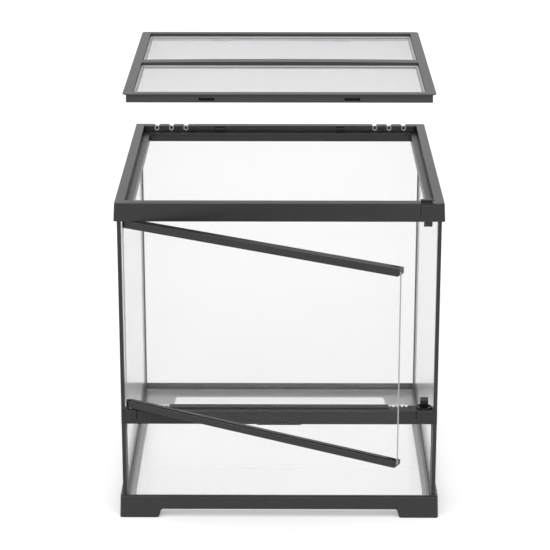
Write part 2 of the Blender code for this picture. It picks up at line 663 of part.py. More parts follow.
def make_top_frame(tank, plastic):
    """Fascia, flat top, ledge and lip for the lid, grooves for the glass and seats for what it carries."""
    outer_top = TOP_FRAME_INSET + TOP_FRAME_DRAFT
    lip_low = TOP_FRAME_Z + LIP_RAISE
    lip_outer = LEDGE_INNER - LIP_THICKNESS
    profile = [
        (TOP_FRAME_INSET, TOP_FRAME_Z),
        (outer_top, TANK_HEIGHT - TOP_EDGE_CHAMFER),
        (outer_top + TOP_EDGE_CHAMFER, TANK_HEIGHT),
        (TOP_FACE_INNER, TANK_HEIGHT),
        (TOP_FACE_INNER, SEAT_Z),
        (LEDGE_INNER, SEAT_Z),
        (LEDGE_INNER, lip_low),
        (lip_outer, lip_low),
        (lip_outer, LEDGE_UNDER_Z),
        (TOP_BLOCK_INNER, LEDGE_UNDER_Z),
        (TOP_BLOCK_INNER, TOP_FRAME_Z),
    ]
    shape = bmesh.new()
    frame_ring(shape, HALF_WIDTH, HALF_DEPTH, profile, CORNER_RADIUS)
    frame = solid("top_frame", shape, plastic, tank)

    bite = LIP_THICKNESS / 2
    block_face = -HALF_DEPTH + TOP_BLOCK_INNER - bite
    bosses = bmesh.new()
    pin_boss = around(HINGE_X, HINGE_COLLAR_DIAMETER / 2 + SILL_WALL)
    pin_boss_head = SEAT_Z - LID_LEDGE_THICKNESS / 2
    block(bosses, pin_boss, (block_face, -HALF_DEPTH + LEDGE_INNER - bite), (TOP_FRAME_Z, pin_boss_head))
    across = (CATCH_X - SLEEVE_HALF_X - SILL_DECK, WALL_X + bite)
    rear = CATCH_Y + SLEEVE_HALF_Y + 2 * SEAT_GAP + CATCH_SLEEVE_WALL
    block(bosses, across, (block_face, rear), (TOP_FRAME_Z, TANK_HEIGHT))
    join(frame, "top_frame_bosses", bosses)

    ribs = bmesh.new()
    up = (lip_low + SILL_WALL, LEDGE_UNDER_Z + LID_LEDGE_THICKNESS / 2)
    outer = TOP_BLOCK_INNER - bite
    inner = lip_outer + bite
    for i in range(1, FRAME_RIBS + 1):
        share = i / (FRAME_RIBS + 1) - 0.5
        across = around(TANK_WIDTH * share, FRAME_RIB / 2)
        along = around(TANK_DEPTH * share, FRAME_RIB / 2)
        for side in (-1, 1):
            block(ribs, across, (side * (HALF_DEPTH - outer), side * (HALF_DEPTH - inner)), up)
            block(ribs, (side * (HALF_WIDTH - outer), side * (HALF_WIDTH - inner)), along, up)
    join(frame, "top_frame_ribs", ribs)

    grooves = bmesh.new()
    up = (TOP_FRAME_Z - OUTSIDE, GROOVE_TOP_Z)
    back_half = INNER_X - SEAL_WIDTH + SEAT_GAP
    block(grooves, around(0.0, back_half), (INNER_Y - SEAT_GAP, GLASS_Y + SEAT_GAP), up)
    for side in (-1, 1):
        across = (side * (INNER_X - SEAT_GAP), side * (GLASS_X + SEAT_GAP))
        block(grooves, across, (STRIP_REAR_Y, GLASS_Y + SEAT_GAP), up)
    cut(frame, "top_frame_glass_grooves", grooves)

    inlets = bmesh.new()
    for side in (-1, 1):
        for middle in cable_holes(side):
            bowl = keyhole(middle, CABLE_BOWL_RADIUS)
            prism(inlets, bowl, "Y", WALL_Y - OUTSIDE / 4, WALL_Y + CABLE_BOWL_DEPTH)
    cut(frame, "top_frame_cable_bowls", inlets)
    notches = bmesh.new()
    mouths = bmesh.new()
    ring_seat = WALL_Y + CABLE_RING_THICKNESS
    for side in (-1, 1):
        for middle in cable_holes(side):
            prism(notches, cable_notch(middle), "Y", WALL_Y - OUTSIDE / 4, HALF_DEPTH + OUTSIDE)
            rim = circle((middle, CABLE_HOLE_Z), CABLE_MOUTH_RADIUS, CABLE_RING_STEPS)
            prism(mouths, rim, "Y", WALL_Y - OUTSIDE / 4, ring_seat)
    cut(frame, "top_frame_cable_notches", notches)
    cut(frame, "top_frame_ring_seats", mouths)

    tracks = bmesh.new()
    along = (WALL_Y - SHUTTER_THICKNESS - 2 * SEAT_GAP, WALL_Y + SEAT_GAP)
    for side in (-1, 1):
        ends = (side * (SHUTTER_OUTER + SEAT_GAP), side * (SHUTTER_INNER - SHUTTER_TRAVEL - SEAT_GAP))
        block(tracks, ends, along, (SEAT_Z - SHUTTER_GROOVE, SEAT_Z + SEAT_GAP))
    cut(frame, "top_frame_shutter_tracks", tracks)

    seats = bmesh.new()
    windows = bmesh.new()
    up = (LATCH_Z - SEAT_GAP, LATCH_Z + LATCH_HEIGHT + SEAT_GAP)
    depth = LATCH_TAIL_Y - WALL_Y + SEAT_GAP
    window_up = (LEDGE_UNDER_Z - OUTSIDE / 4, SEAT_Z + OVERLAP)
    for side, middle in latch_places():
        across = around(middle, LATCH_WIDTH / 2 + SEAT_GAP)
        block(seats, across, (side * (WALL_Y - 3 * OVERLAP), side * (WALL_Y + depth)), up)
        along = (side * (WALL_Y - 2 * OVERLAP), side * (WALL_Y - LATCH_WINDOW_DEPTH))
        block(windows, across, along, window_up)
    cut(frame, "top_frame_latch_slots", seats)
    cut(frame, "top_frame_latch_windows", windows)

    recess = bmesh.new()
    front = -HALF_DEPTH + outer_top
    rear = front + FINGER_RECESS_DEPTH
    notch_right = CATCH_X - CATCH_WIDTH / 2
    notch_rear = CATCH_STEM_REAR_Y + SEAT_GAP
    outline = [(RECESS_LEFT, front - OUTSIDE), (RECESS_RIGHT, front - OUTSIDE), (RECESS_RIGHT, rear)]
    outline += [(notch_right, rear), (notch_right, notch_rear), (RECESS_LEFT, notch_rear)]
    prism(recess, outline, "Z", RECESS_Z, TANK_HEIGHT + OUTSIDE)
    cut(frame, "top_frame_finger_recess", recess)

    well = bmesh.new()
    up = (TOP_FRAME_Z - OUTSIDE, TANK_HEIGHT + OUTSIDE)
    catch_block(well, SLEEVE_HALF_X + SEAT_GAP, SLEEVE_HALF_Y + SEAT_GAP, up)
    pin_head = TOP_FRAME_Z + HINGE_PIN_ROOT + SEAT_GAP
    rod(well, (HINGE_X, HINGE_Y), HINGE_PIN_DIAMETER / 2 + SEAT_GAP, TOP_FRAME_Z - OUTSIDE, pin_head)
    cut(frame, "top_frame_catch_well", well)

    line = bmesh.new()
    along = (-HALF_DEPTH - OUTSIDE, -HALF_DEPTH + outer_top - TOP_FRAME_DRAFT / 2 + GROOVE_DEPTH)
    up = (TANK_HEIGHT - FACE_LINE_DROP - FACE_LINE_LENGTH, TANK_HEIGHT - FACE_LINE_DROP)
    block(line, around(FACE_LINE_X, GROOVE_WIDTH / 2), along, up)
    cut(frame, "top_frame_face_line", line)
    shade_round(frame)


def make_shutters(tank, plastic):
    """Plates that slide along the back wall to close the cable inlets between their own notches."""
    rear = WALL_Y - SEAT_GAP
    front = rear - SHUTTER_THICKNESS
    foot = SEAT_Z - SHUTTER_GROOVE + SEAT_GAP
    head = TANK_HEIGHT - TOP_EDGE_CHAMFER
    for word, side in (("left", -1), ("right", 1)):
        shape = bmesh.new()
        block(shape, (side * SHUTTER_OUTER, side * SHUTTER_INNER), (front, rear), (foot, head))
        plate = solid(f"{word}_cable_shutter", shape, plastic, tank)
        grip = bmesh.new()
        middle = side * (CABLE_MIDDLE_X - CABLE_PITCH / 2)
        along = (front - SHUTTER_THICKNESS, front + SHUTTER_THICKNESS / 2)
        for i in (-1, 0, 1):
            across = around(middle + i * 2 * SHUTTER_THICKNESS, SHUTTER_THICKNESS / 2)
            block(grip, across, along, (SEAT_Z + SHUTTER_MARGIN, head - SHUTTER_MARGIN))
        join(plate, f"{word}_shutter_grip", grip)
        notches = bmesh.new()
        for middle in cable_holes(side):
            opening = keyhole(middle, CABLE_MOUTH_RADIUS)
            prism(notches, opening, "Y", front - OUTSIDE / 4, rear + OUTSIDE / 4)
        cut(plate, f"{word}_shutter_notches", notches)


def make_cable_rings(tank, plastic):
    """Light rings, open at the top, pressed into the mouths of the cable inlets."""
    places = list(zip(("left_outer", "left_middle", "left_inner"), cable_holes(-1)))
    places += zip(("right_outer", "right_middle", "right_inner"), cable_holes(1))
    start = 90.0 + CABLE_RING_OPEN_DEG / 2
    end = 450.0 - CABLE_RING_OPEN_DEG / 2
    front = WALL_Y - SEAT_GAP / 2
    for word, middle in places:
        centre = (middle, CABLE_HOLE_Z)
        outer = circle(centre, CABLE_RING_RADIUS, CABLE_RING_STEPS, start, end)
        inner = circle(centre, CABLE_RING_RADIUS - CABLE_RING_WALL, CABLE_RING_STEPS, end, start)
        shape = bmesh.new()
        prism(shape, [*outer, *inner], "Y", front, WALL_Y + CABLE_RING_THICKNESS - SEAT_GAP)
        solid(f"{word}_cable_ring", shape, plastic, tank)


def make_lid_latches(tank, plastic):
    """Tongues that slide out of the wall into the slots of the lid's skirt."""
    low = LATCH_Z
    high = LATCH_Z + LATCH_HEIGHT
    for side, middle in latch_places():
        word = f"{'front' if side < 0 else 'rear'}_{'left' if middle < 0 else 'right'}"
        outline = [
            (side * LATCH_TIP_Y, low),
            (side * LATCH_TAIL_Y, low),
            (side * LATCH_TAIL_Y, high),
            (side * (LATCH_TIP_Y + LATCH_BEVEL), high),
            (side * LATCH_TIP_Y, high - LATCH_BEVEL),
        ]
        shape = bmesh.new()
        prism(shape, outline, "X", *around(middle, LATCH_WIDTH / 2))
        solid(f"lid_latch_{word}", shape, plastic, tank)


def spring(name, metal, parent, centre_x, low, high):
    """A small coil spring standing between two heights, as one tube along a helix."""
    mean = (SPRING_DIAMETER - SPRING_WIRE) / 2
    steps = int(SPRING_TURNS * SPRING_TURN_STEPS)
    start = low + SPRING_WIRE / 2
    end = high - SPRING_WIRE / 2
    pitch = (end - start) / SPRING_TURNS
    print(f"{name}: least gap between its turns {1000 * (pitch - SPRING_WIRE):.2f} mm")
    curve = bpy.data.curves.new(name, "CURVE")
    curve.dimensions = "3D"
    curve.bevel_depth = SPRING_WIRE / 2
    curve.bevel_resolution = 1
    curve.use_fill_caps = True
    path = curve.splines.new("POLY")
    path.points.add(steps)
    for i, point in enumerate(path.points):
        angle = 2 * math.pi * SPRING_TURNS * i / steps
        x = centre_x + mean * math.cos(angle)
        y = CATCH_Y + mean * math.sin(angle)
        point.co = (x, y, start + (end - start) * i / steps, 1.0)
    curve.materials.append(metal)
    made = bpy.data.objects.new(name, curve)
    made.parent = parent
    bpy.context.scene.collection.objects.link(made)


def make_lower_catch(tank, plastic, metal):
    """Sprung bolt that stands up through the bar into the pocket of the door's bottom rail."""
    travel = CATCH_OVER_RAIL + DOOR_BOTTOM_RAIL_HEIGHT + CATCH_RELEASE_MARGIN
    nose = DOOR_BOTTOM_Z + DOOR_BOTTOM_RAIL_HEIGHT + CATCH_OVER_RAIL
    tail = SILL_TOP_Z - CATCH_GUIDE
    floor = tail - travel - SPRING_SOLID_HEIGHT
    side_view = [
        (CATCH_FRONT_Y, tail),
        (CATCH_REAR_Y, tail),
        (CATCH_REAR_Y, nose),
        (CATCH_REAR_Y - CATCH_TIP, nose),
        (CATCH_FRONT_Y, nose - CATCH_SLOPE),
    ]
    shape = bmesh.new()
    prism(shape, side_view, "X", *around(CATCH_X, CATCH_WIDTH / 2))
    solid("lower_catch_bolt", shape, plastic, tank)

    flange = SILL_TOP_Z + SEAT_GAP
    shape = bmesh.new()
    rim = flange + CATCH_FLANGE_THICKNESS + CATCH_CUP_DEPTH
    rod(shape, (CATCH_X, CATCH_Y), CATCH_FLANGE_DIAMETER / 2, flange, rim)
    housing = solid("lower_catch_housing", shape, plastic, tank)
    sleeve = bmesh.new()
    sleeve_up = (floor - CATCH_SLEEVE_WALL, flange + CATCH_FLANGE_THICKNESS / 2)
    catch_block(sleeve, SLEEVE_HALF_X, SLEEVE_HALF_Y, sleeve_up)
    join(housing, "lower_catch_sleeve", sleeve)
    cup = bmesh.new()
    cup_floor = flange + CATCH_FLANGE_THICKNESS
    rod(cup, (CATCH_X, CATCH_Y), CATCH_FLANGE_DIAMETER / 2 - CATCH_CUP_RIM, cup_floor, cup_floor + OUTSIDE)
    cut(housing, "lower_catch_cup", cup)
    bore = bmesh.new()
    catch_block(bore, BORE_HALF_X, BORE_HALF_Y, (floor, SILL_TOP_Z + OUTSIDE))
    cut(housing, "lower_catch_bore", bore)
    shade_round(housing)
    spring("lower_catch_spring", metal, tank, CATCH_X, floor + SEAT_GAP, tail - SEAT_GAP)


def make_upper_catch(tank, plastic, metal):
    """Sprung bolt that hangs from the top frame into the door's top rail, with a lug to lift it by."""
    travel = DOOR_TOP_RAIL_HEIGHT + CATCH_RELEASE_MARGIN
    nose = DOOR_TOP_Z - DOOR_TOP_RAIL_HEIGHT
    shoulder = TOP_FRAME_Z + CATCH_GUIDE
    ceiling = shoulder + travel + SPRING_SOLID_HEIGHT
    lug_left = RECESS_LEFT + SEAT_GAP
    lug_right = RECESS_RIGHT - SEAT_GAP
    stem_left = CATCH_X - CATCH_WIDTH / 2
    stem_right = lug_left + FINGER_STEM_REACH
    plate_foot = RECESS_Z + SEAT_GAP
    plate_head = plate_foot + CATCH_FLANGE_THICKNESS
    lug_foot = plate_head + SEAT_GAP
    side_view = [
        (CATCH_FRONT_Y, nose + CATCH_SLOPE),
        (CATCH_REAR_Y - CATCH_TIP, nose),
        (CATCH_REAR_Y, nose),
        (CATCH_REAR_Y, shoulder),
        (CATCH_FRONT_Y, shoulder),
    ]
    shape = bmesh.new()
    prism(shape, side_view, "X", *around(CATCH_X, CATCH_WIDTH / 2))
    bolt = solid("upper_catch_bolt", shape, plastic, tank)
    stem = bmesh.new()
    stem_along = (CATCH_FRONT_Y, CATCH_STEM_REAR_Y)
    block(stem, (stem_left, stem_right), stem_along, (shoulder - OVERLAP, lug_foot + OVERLAP))
    join(bolt, "upper_catch_stem", stem)
    lug = bmesh.new()
    lug_along = (CATCH_STEM_REAR_Y - FINGER_LUG_DEPTH, CATCH_STEM_REAR_Y)
    block(lug, (lug_left, lug_right), lug_along, (lug_foot, TANK_HEIGHT + FINGER_LUG_PROUD))
    join(bolt, "upper_catch_lug", lug)

    shape = bmesh.new()
    catch_block(shape, SLEEVE_HALF_X, SLEEVE_HALF_Y, (TOP_FRAME_Z + SEAT_GAP, plate_head))
    housing = solid("upper_catch_housing", shape, plastic, tank)
    plate = bmesh.new()
    sleeve_front = CATCH_Y - SLEEVE_HALF_Y
    across = (RECESS_LEFT + SEAT_GAP, RECESS_RIGHT - SEAT_GAP)
    along = (sleeve_front - FINGER_RECESS_DEPTH / 2, sleeve_front + OVERLAP)
    block(plate, across, along, (plate_foot, plate_head))
    join(housing, "upper_catch_plate", plate)
    bore = bmesh.new()
    catch_block(bore, BORE_HALF_X, BORE_HALF_Y, (TOP_FRAME_Z - OUTSIDE, ceiling))
    cut(housing, "upper_catch_bore", bore)
    slot = bmesh.new()
    across = (stem_left - CATCH_CLEARANCE, stem_right + CATCH_CLEARANCE)
    along = (CATCH_FRONT_Y - CATCH_CLEARANCE, CATCH_STEM_REAR_Y + CATCH_CLEARANCE)
    block(slot, across, along, (ceiling - OVERLAP, TANK_HEIGHT + OUTSIDE))
    cut(housing, "upper_catch_stem_slot", slot)
    spring_x = (stem_right + CATCH_X + CATCH_WIDTH / 2 + CATCH_CLEARANCE) / 2
    spring("upper_catch_spring", metal, tank, spring_x, shoulder + SEAT_GAP, ceiling - SEAT_GAP)


def make_door_rail(name, axis, place, plastic, foot, head, glass_end):
    """One door rail with its glass slot, hinge socket and catch pocket."""
    shape = bmesh.new()
    round_end = circle((HINGE_X, HINGE_Y), DOOR_RAIL_DEPTH / 2, 10, 90.0, 270.0)
    outline = [*round_end, (DOOR_RIGHT_X, DOOR_FRONT_Y), (DOOR_RIGHT_X, DOOR_REAR_Y)]
    prism(shape, outline, "Z", foot, head)
    rail = solid(name, shape, plastic, axis, place)

    below = foot < DOOR_GLASS_BOTTOM_Z
    slot = bmesh.new()
    across = (DOOR_LEFT_X - OUTSIDE, DOOR_RIGHT_X + OUTSIDE)
    up = (glass_end - SEAT_GAP, head + OUTSIDE) if below else (foot - OUTSIDE, glass_end + SEAT_GAP)
    block(slot, across, (DOOR_SLOT_FRONT_Y, DOOR_SLOT_REAR_Y), up)
    cut(rail, f"{name}_glass_slot", slot)

    sockets = bmesh.new()
    depth = HINGE_PIN_ENGAGED + SEAT_GAP
    up = (foot - OUTSIDE, foot + depth) if below else (head - depth, head + OUTSIDE)
    rod(sockets, (HINGE_X, HINGE_Y), HINGE_PIN_DIAMETER / 2 + SEAT_GAP, *up)
    half_x = CATCH_WIDTH / 2 + CATCH_POCKET_CLEARANCE
    half_y = CATCH_THICKNESS / 2 + CATCH_POCKET_CLEARANCE
    catch_block(sockets, half_x, half_y, (foot - OUTSIDE, head + OUTSIDE))
    cut(rail, f"{name}_sockets", sockets)

    corner = bmesh.new()
    reach = DOOR_END_CHAMFER
    past = DOOR_RIGHT_X + reach
    outline = [(DOOR_RIGHT_X - reach, foot), (past, foot - reach), (past, foot + 2 * reach)]
    prism(corner, outline, "Y", DOOR_FRONT_Y - OUTSIDE, DOOR_REAR_Y + OUTSIDE)
    cut(rail, f"{name}_end_chamfer", corner)
    edge = rail.modifiers.new("edge", "BEVEL")
    edge.width = DOOR_RAIL_CHAMFER
    edge.segments = 1
    edge.limit_method = "ANGLE"
    edge.angle_limit = math.radians(60)
    shade_round(rail)


def make_door(tank, plastic, glass, metal):
    """Door glass held in a rail above and a rail below, turning on two pins at its left."""
    axis = empty("door_axis", (HINGE_X, HINGE_Y, 0.0), tank, math.radians(-DOOR_AJAR_DEG))
    place = (-HINGE_X, -HINGE_Y, 0.0)
    top_rail_foot = DOOR_TOP_Z - DOOR_TOP_RAIL_HEIGHT
    bottom_rail_head = DOOR_BOTTOM_Z + DOOR_BOTTOM_RAIL_HEIGHT
    top = (top_rail_foot, DOOR_TOP_Z, DOOR_GLASS_TOP_Z)
    make_door_rail("door_top_rail", axis, place, plastic, *top)
    bottom = (DOOR_BOTTOM_Z, bottom_rail_head, DOOR_GLASS_BOTTOM_Z)
    make_door_rail("door_bottom_rail", axis, place, plastic, *bottom)

    shape = bmesh.new()
    front = DOOR_SLOT_FRONT_Y + SEAT_GAP
    left = DOOR_LEFT_X + HINGE_END_INSET / 4
    up = (DOOR_GLASS_BOTTOM_Z, DOOR_GLASS_TOP_Z)
    block(shape, (left, DOOR_RIGHT_X), (front, front + GLASS_THICKNESS), up)
    solid("door_glass", shape, glass, axis, place)

    radius = HINGE_PIN_DIAMETER / 2
    shape = bmesh.new()
    rod(shape, (HINGE_X, HINGE_Y), radius, DOOR_TOP_Z - HINGE_PIN_ENGAGED, TOP_FRAME_Z + HINGE_PIN_ROOT)
    shade_round(solid("upper_hinge_pin", shape, metal, tank))
    shape = bmesh.new()
    rod(shape, (HINGE_X, HINGE_Y), radius, SILL_TOP_Z - HINGE_PIN_ROOT, DOOR_BOTTOM_Z + HINGE_PIN_ENGAGED)
    pin = solid("lower_hinge_pin", shape, metal, tank)
    collar = bmesh.new()
    up = (SILL_TOP_Z + SEAT_GAP, DOOR_BOTTOM_Z - SEAT_GAP)
    rod(collar, (HINGE_X, HINGE_Y), HINGE_COLLAR_DIAMETER / 2, *up)
    join(pin, "lower_hinge_collar", collar)
    shade_round(pin)


def screen_openings(half_x, low_y, high_y):
    """The plain grid of openings that stands for the weave of one screen."""
    openings = bmesh.new()
    step_x = (2 * half_x - SCREEN_BAR) / SCREEN_COLUMNS
    step_y = (high_y - low_y - SCREEN_BAR) / SCREEN_ROWS
    up = (SCREEN_Z - OUTSIDE / 4, SCREEN_Z + SCREEN_THICKNESS + OUTSIDE / 4)
    for column in range(SCREEN_COLUMNS):
        left = column * step_x - half_x + SCREEN_BAR
        for row in range(SCREEN_ROWS):
            near = low_y + row * step_y + SCREEN_BAR
            across = (left, left + step_x - SCREEN_BAR)
            block(openings, across, (near, near + step_y - SCREEN_BAR), up)
    return openings


def make_lid(tank, plastic, mesh_metal, edging):
    """Rim, skirt and cross bar in one moulding, with a screen held by a bead in each half."""
    lift = empty("lid_lift", (0.0, 0.0, LID_RAISED), tank)
    top = LID_TOP_Z
    floor = top - LID_INNER_DEPTH
    flange_top = floor + SCREEN_FLANGE_THICKNESS
    under_plate = top - LID_PLATE
    skirt_inner = LID_RIM_OVERHANG + LID_SKIRT
    edge = LID_RIM_THICKNESS / 4
    profile = [
        (0.0, top - LID_RIM_THICKNESS),
        (0.0, top - edge),
        (edge, top),
        (LID_RAIL_WIDTH, top),
        (LID_RAIL_WIDTH, flange_top),
        (LID_RAIL_WIDTH + SCREEN_FLANGE, flange_top),
        (LID_RAIL_WIDTH + SCREEN_FLANGE, floor),
        (LID_RAIL_WIDTH - LID_INNER_WALL, floor),
        (LID_RAIL_WIDTH - LID_INNER_WALL, under_plate),
        (skirt_inner, under_plate),
        (skirt_inner, top - LID_HEIGHT),
        (LID_RIM_OVERHANG, top - LID_HEIGHT),
        (LID_RIM_OVERHANG, top - LID_RIM_THICKNESS),
    ]
    shape = bmesh.new()
    frame_ring(shape, LID_HALF_X, LID_HALF_Y, profile, LID_CORNER_RADIUS)
    frame = solid("lid_frame", shape, plastic, lift)

    bar = bmesh.new()
    half = CROSS_BAR_WIDTH / 2
    wing = half + SCREEN_FLANGE
    reach = LID_WINDOW_X + LID_INNER_WALL / 2
    stations = 12
    rings = []
    for i in range(stations + 1):
        x = reach * (2 * i / stations - 1)
        head = top - CROSS_BAR_DROP + CROSS_BAR_BOW * (1 - (x / reach) ** 2)
        low = floor + OVERLAP / 4
        high = flange_top - OVERLAP / 4
        left_side = [(-half, head), (-half, high), (-wing, high), (-wing, low)]
        section = [*left_side, *reversed(mirrored(left_side, -1))]
        rings.append([bar.verts.new((x, y, z)) for y, z in section])
    bridge(bar, rings)
    join(frame, "lid_cross_bar", bar)

    pockets = bmesh.new()
    slots = bmesh.new()
    skirt = LID_HALF_Y - LID_RIM_OVERHANG
    depth = LID_SKIRT + LID_POCKET_DEPTH
    up = (LATCH_Z - LID_SLOT_CLEARANCE, LATCH_Z + LATCH_HEIGHT + LID_SLOT_CLEARANCE)
    pocket_up = (top - LID_HEIGHT + OVERLAP, under_plate + OVERLAP)
    for side, middle in latch_places():
        along = (side * (skirt - LID_SKIRT / 2), side * (skirt - depth - LID_POCKET_WALL))
        block(pockets, around(middle, LID_SLOT_WIDTH / 2 + LID_POCKET_WALL), along, pocket_up)
        along = (side * (skirt + 2 * OVERLAP), side * (skirt - depth))
        block(slots, around(middle, LID_SLOT_WIDTH / 2), along, up)
    join(frame, "lid_latch_pockets", pockets)
    cut(frame, "lid_latch_slots", slots)
    shade_round(frame)

    window_x = LID_WINDOW_X - SEAT_GAP
    for word, side in (("front", -1), ("back", 1)):
        near = side * (half + SEAT_GAP)
        far = side * (LID_WINDOW_Y - SEAT_GAP)
        shape = bmesh.new()
        block(shape, around(0.0, window_x), (near, far), (SCREEN_Z, SCREEN_Z + SCREEN_THICKNESS))
        screen = solid(f"{word}_screen", shape, mesh_metal, lift)
        cut(screen, f"{word}_screen_grid", screen_openings(window_x, *sorted((near, far))))
        shape = bmesh.new()
        foot = SCREEN_Z + SCREEN_THICKNESS + SEAT_GAP
        head = foot + SCREEN_BEAD_HEIGHT
        slope = SCREEN_BEAD_WIDTH / 4
        bead = [(0.0, foot), (0.0, head), (SCREEN_BEAD_WIDTH - slope, head)]
        bead += [(SCREEN_BEAD_WIDTH, head - slope), (SCREEN_BEAD_WIDTH, foot)]
        frame_ring(shape, window_x, abs(far - near) / 2, bead, 0.0, (near + far) / 2)
        solid(f"{word}_screen_bead", shape, edging, lift)


def stand_on_origin(tank):
    """Moves the whole part so that the origin is at the bottom centre of the stored shape's box."""
    bpy.context.view_layer.update()
    graph = bpy.context.evaluated_depsgraph_get()
    points = []
    for item in bpy.data.objects:
        if item.type in ("MESH", "CURVE") and not item.hide_render:
            made = item.evaluated_get(graph)
            points += [made.matrix_world @ vertex.co for vertex in made.to_mesh().vertices]
            made.to_mesh_clear()
    for axis in (0, 1):
        places = [point[axis] for point in points]
        tank.location[axis] -= (min(places) + max(places)) / 2
    tank.location[2] -= min(point[2] for point in points)
    bpy.context.view_layer.update()
    print("tank stands at", ", ".join(f"{1000 * value:.3f}" for value in tank.location), "mm")


def main():
    clear_scene()
    frame_plastic = finish("frame_plastic", (0.048, 0.050, 0.053), 0.48)
    black_plastic = finish("black_plastic", (0.012, 0.012, 0.013), 0.40)
    light_plastic = finish("light_plastic", (0.45, 0.46, 0.46), 0.35)
    silicone = finish("black_silicone", (0.020, 0.020, 0.021), 0.55)
    glass = finish("clear_glass", (0.97, 0.99, 0.98), 0.0, transmission=1.0)
    screen_metal = finish("screen_metal", (0.46, 0.46, 0.47), 0.35, metallic=1.0)
    steel = finish("steel", (0.55, 0.55, 0.56), 0.30, metallic=1.0)

    tank = empty("tank", (0.0, 0.0, 0.0))
    make_base_frame(tank, frame_plastic)
    make_panes(tank, glass)
    make_strips_and_seals(tank, black_plastic, silicone)
    make_sill(tank, frame_plastic)
    make_top_frame(tank, frame_plastic)
    make_shutters(tank, black_plastic)
    make_cable_rings(tank, light_plastic)
    make_lid_latches(tank, black_plastic)
    make_lower_catch(tank, black_plastic, steel)
    make_upper_catch(tank, black_plastic, steel)
    make_door(tank, frame_plastic, glass, steel)
    make_lid(tank, frame_plastic, screen_metal, light_plastic)
    stand_on_origin(tank)


main()
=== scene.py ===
"""Dresses the glass terrarium: moulded plastic, panes, sealant, woven screens and a white studio."""

import math

import bmesh
import bpy
from bpy.props import FloatProperty, FloatVectorProperty, IntProperty, PointerProperty
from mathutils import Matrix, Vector


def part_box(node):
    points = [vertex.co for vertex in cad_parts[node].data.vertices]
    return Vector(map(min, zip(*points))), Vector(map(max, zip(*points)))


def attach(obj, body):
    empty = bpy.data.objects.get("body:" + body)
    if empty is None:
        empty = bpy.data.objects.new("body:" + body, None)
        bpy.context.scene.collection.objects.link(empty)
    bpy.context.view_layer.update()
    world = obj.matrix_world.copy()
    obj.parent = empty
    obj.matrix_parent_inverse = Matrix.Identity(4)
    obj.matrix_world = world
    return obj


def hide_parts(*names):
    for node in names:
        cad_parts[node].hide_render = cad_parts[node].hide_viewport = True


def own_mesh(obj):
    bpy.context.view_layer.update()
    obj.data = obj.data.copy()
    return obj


bl_info = {
    "name": "Glass terrarium",
    "version": (1, 0, 0),
    "blender": (4, 5, 0),
    "location": "View3D > Sidebar > Terrarium",
    "description": "Finishes a front-opening glass terrarium and sets it in a white studio",
    "category": "Object",
}

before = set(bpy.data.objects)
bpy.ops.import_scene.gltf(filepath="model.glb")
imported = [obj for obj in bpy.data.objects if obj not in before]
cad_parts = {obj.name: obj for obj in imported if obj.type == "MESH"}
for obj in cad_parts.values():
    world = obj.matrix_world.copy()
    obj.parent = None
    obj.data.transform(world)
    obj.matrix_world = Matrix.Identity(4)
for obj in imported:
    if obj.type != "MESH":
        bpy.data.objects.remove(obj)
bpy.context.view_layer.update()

# Nodes of the tank, the door and the lid, by what they are made as
SILL = ("sill_bar", "sill_strip")
DOOR_RAILS = ("door_top_rail", "door_bottom_rail")
SIDE_AND_BACK_PANES = ("left_pane", "right_pane", "back_pane")
SEALS = ("back_left_seal", "back_right_seal", "front_left_seal", "front_right_seal", "floor_seal")
CORNER_STRIPS = ("left_corner_strip", "right_corner_strip")
LOWER_CATCH = ("lower_catch_housing", "lower_catch_bolt")
UPPER_CATCH = ("upper_catch_housing", "upper_catch_bolt")
LATCHES = (
    "lid_latch_front_left",
    "lid_latch_front_right",
    "lid_latch_rear_left",
    "lid_latch_rear_right",
)
SHUTTERS = ("left_cable_shutter", "right_cable_shutter")
CABLE_RINGS = (
    "left_outer_cable_ring",
    "left_middle_cable_ring",
    "left_inner_cable_ring",
    "right_inner_cable_ring",
    "right_middle_cable_ring",
    "right_outer_cable_ring",
)
HINGE_PINS = ("upper_hinge_pin", "lower_hinge_pin")
# Each spring with the joint that presses it and the index of its fixed end, 0 for the lower
CATCH_SPRINGS = (
    ("lower_catch_spring", "lower_catch_press", 0),
    ("upper_catch_spring", "upper_catch_lift", 1),
)
SCREENS = ("front_screen", "back_screen")
SCREEN_BEADS = ("front_screen_bead", "back_screen_bead")

# Stretches of a value between which a finish turns from its first tone to its second
WHOLE = (0.0, 1.0)
NOISE_MIDDLE = (0.3, 0.7)
NOISE_MOST = (0.15, 0.85)
PAINTED_SHADE_STRETCH = (0.35, 0.80)
SOFT_EDGE_STRETCH = (0.85, 0.99)
PANE_EDGE_STRETCH = (0.68, 0.72)

# Darkest and lightest share of a colour, and how far the roughness swings about its own value
# Share of its colour that the painted shade leaves deep in slots and inner corners
CAVITY_SHADE_TONE = 0.15
MOULDED_SWING = (-0.015, 0.015)
SEALANT_TONES = (0.85, 1.2)
SEALANT_SWING = (-0.05, 0.08)
METAL_TONES = (0.85, 1.1)
METAL_SWING = (-0.06, 0.08)
PANE_TONES = (0.995, 1.004)

# Rays that feel for hollows, where shade is painted, and for edges
PAINTED_SHADE_SAMPLES = 6
EDGE_SAMPLES = 4

# Plain surroundings and the camera, in metres, with the sensor in millimetres
WHITE = (1.0, 1.0, 1.0, 1.0)
WHITE_LEVEL = 1.0
FLOOR_REACH = 12.0
FLOOR_DROP = 0.0002
FLOOR_ROUGHNESS = 0.9
FLOOR_SHINE = 0.1
SENSOR_WIDTH = 36.0
NEAREST_SEEN = 0.1
FARTHEST_SEEN = 50.0


def colour_value(description, default):
    return FloatVectorProperty(
        name="Colour", description=description, subtype="COLOR", size=3, min=0.0, max=1.0, default=default,
    )


def share_value(name, description, default):
    return FloatProperty(
        name=name, description=description, subtype="FACTOR", min=0.0, max=1.0, default=default,
        precision=3,
    )


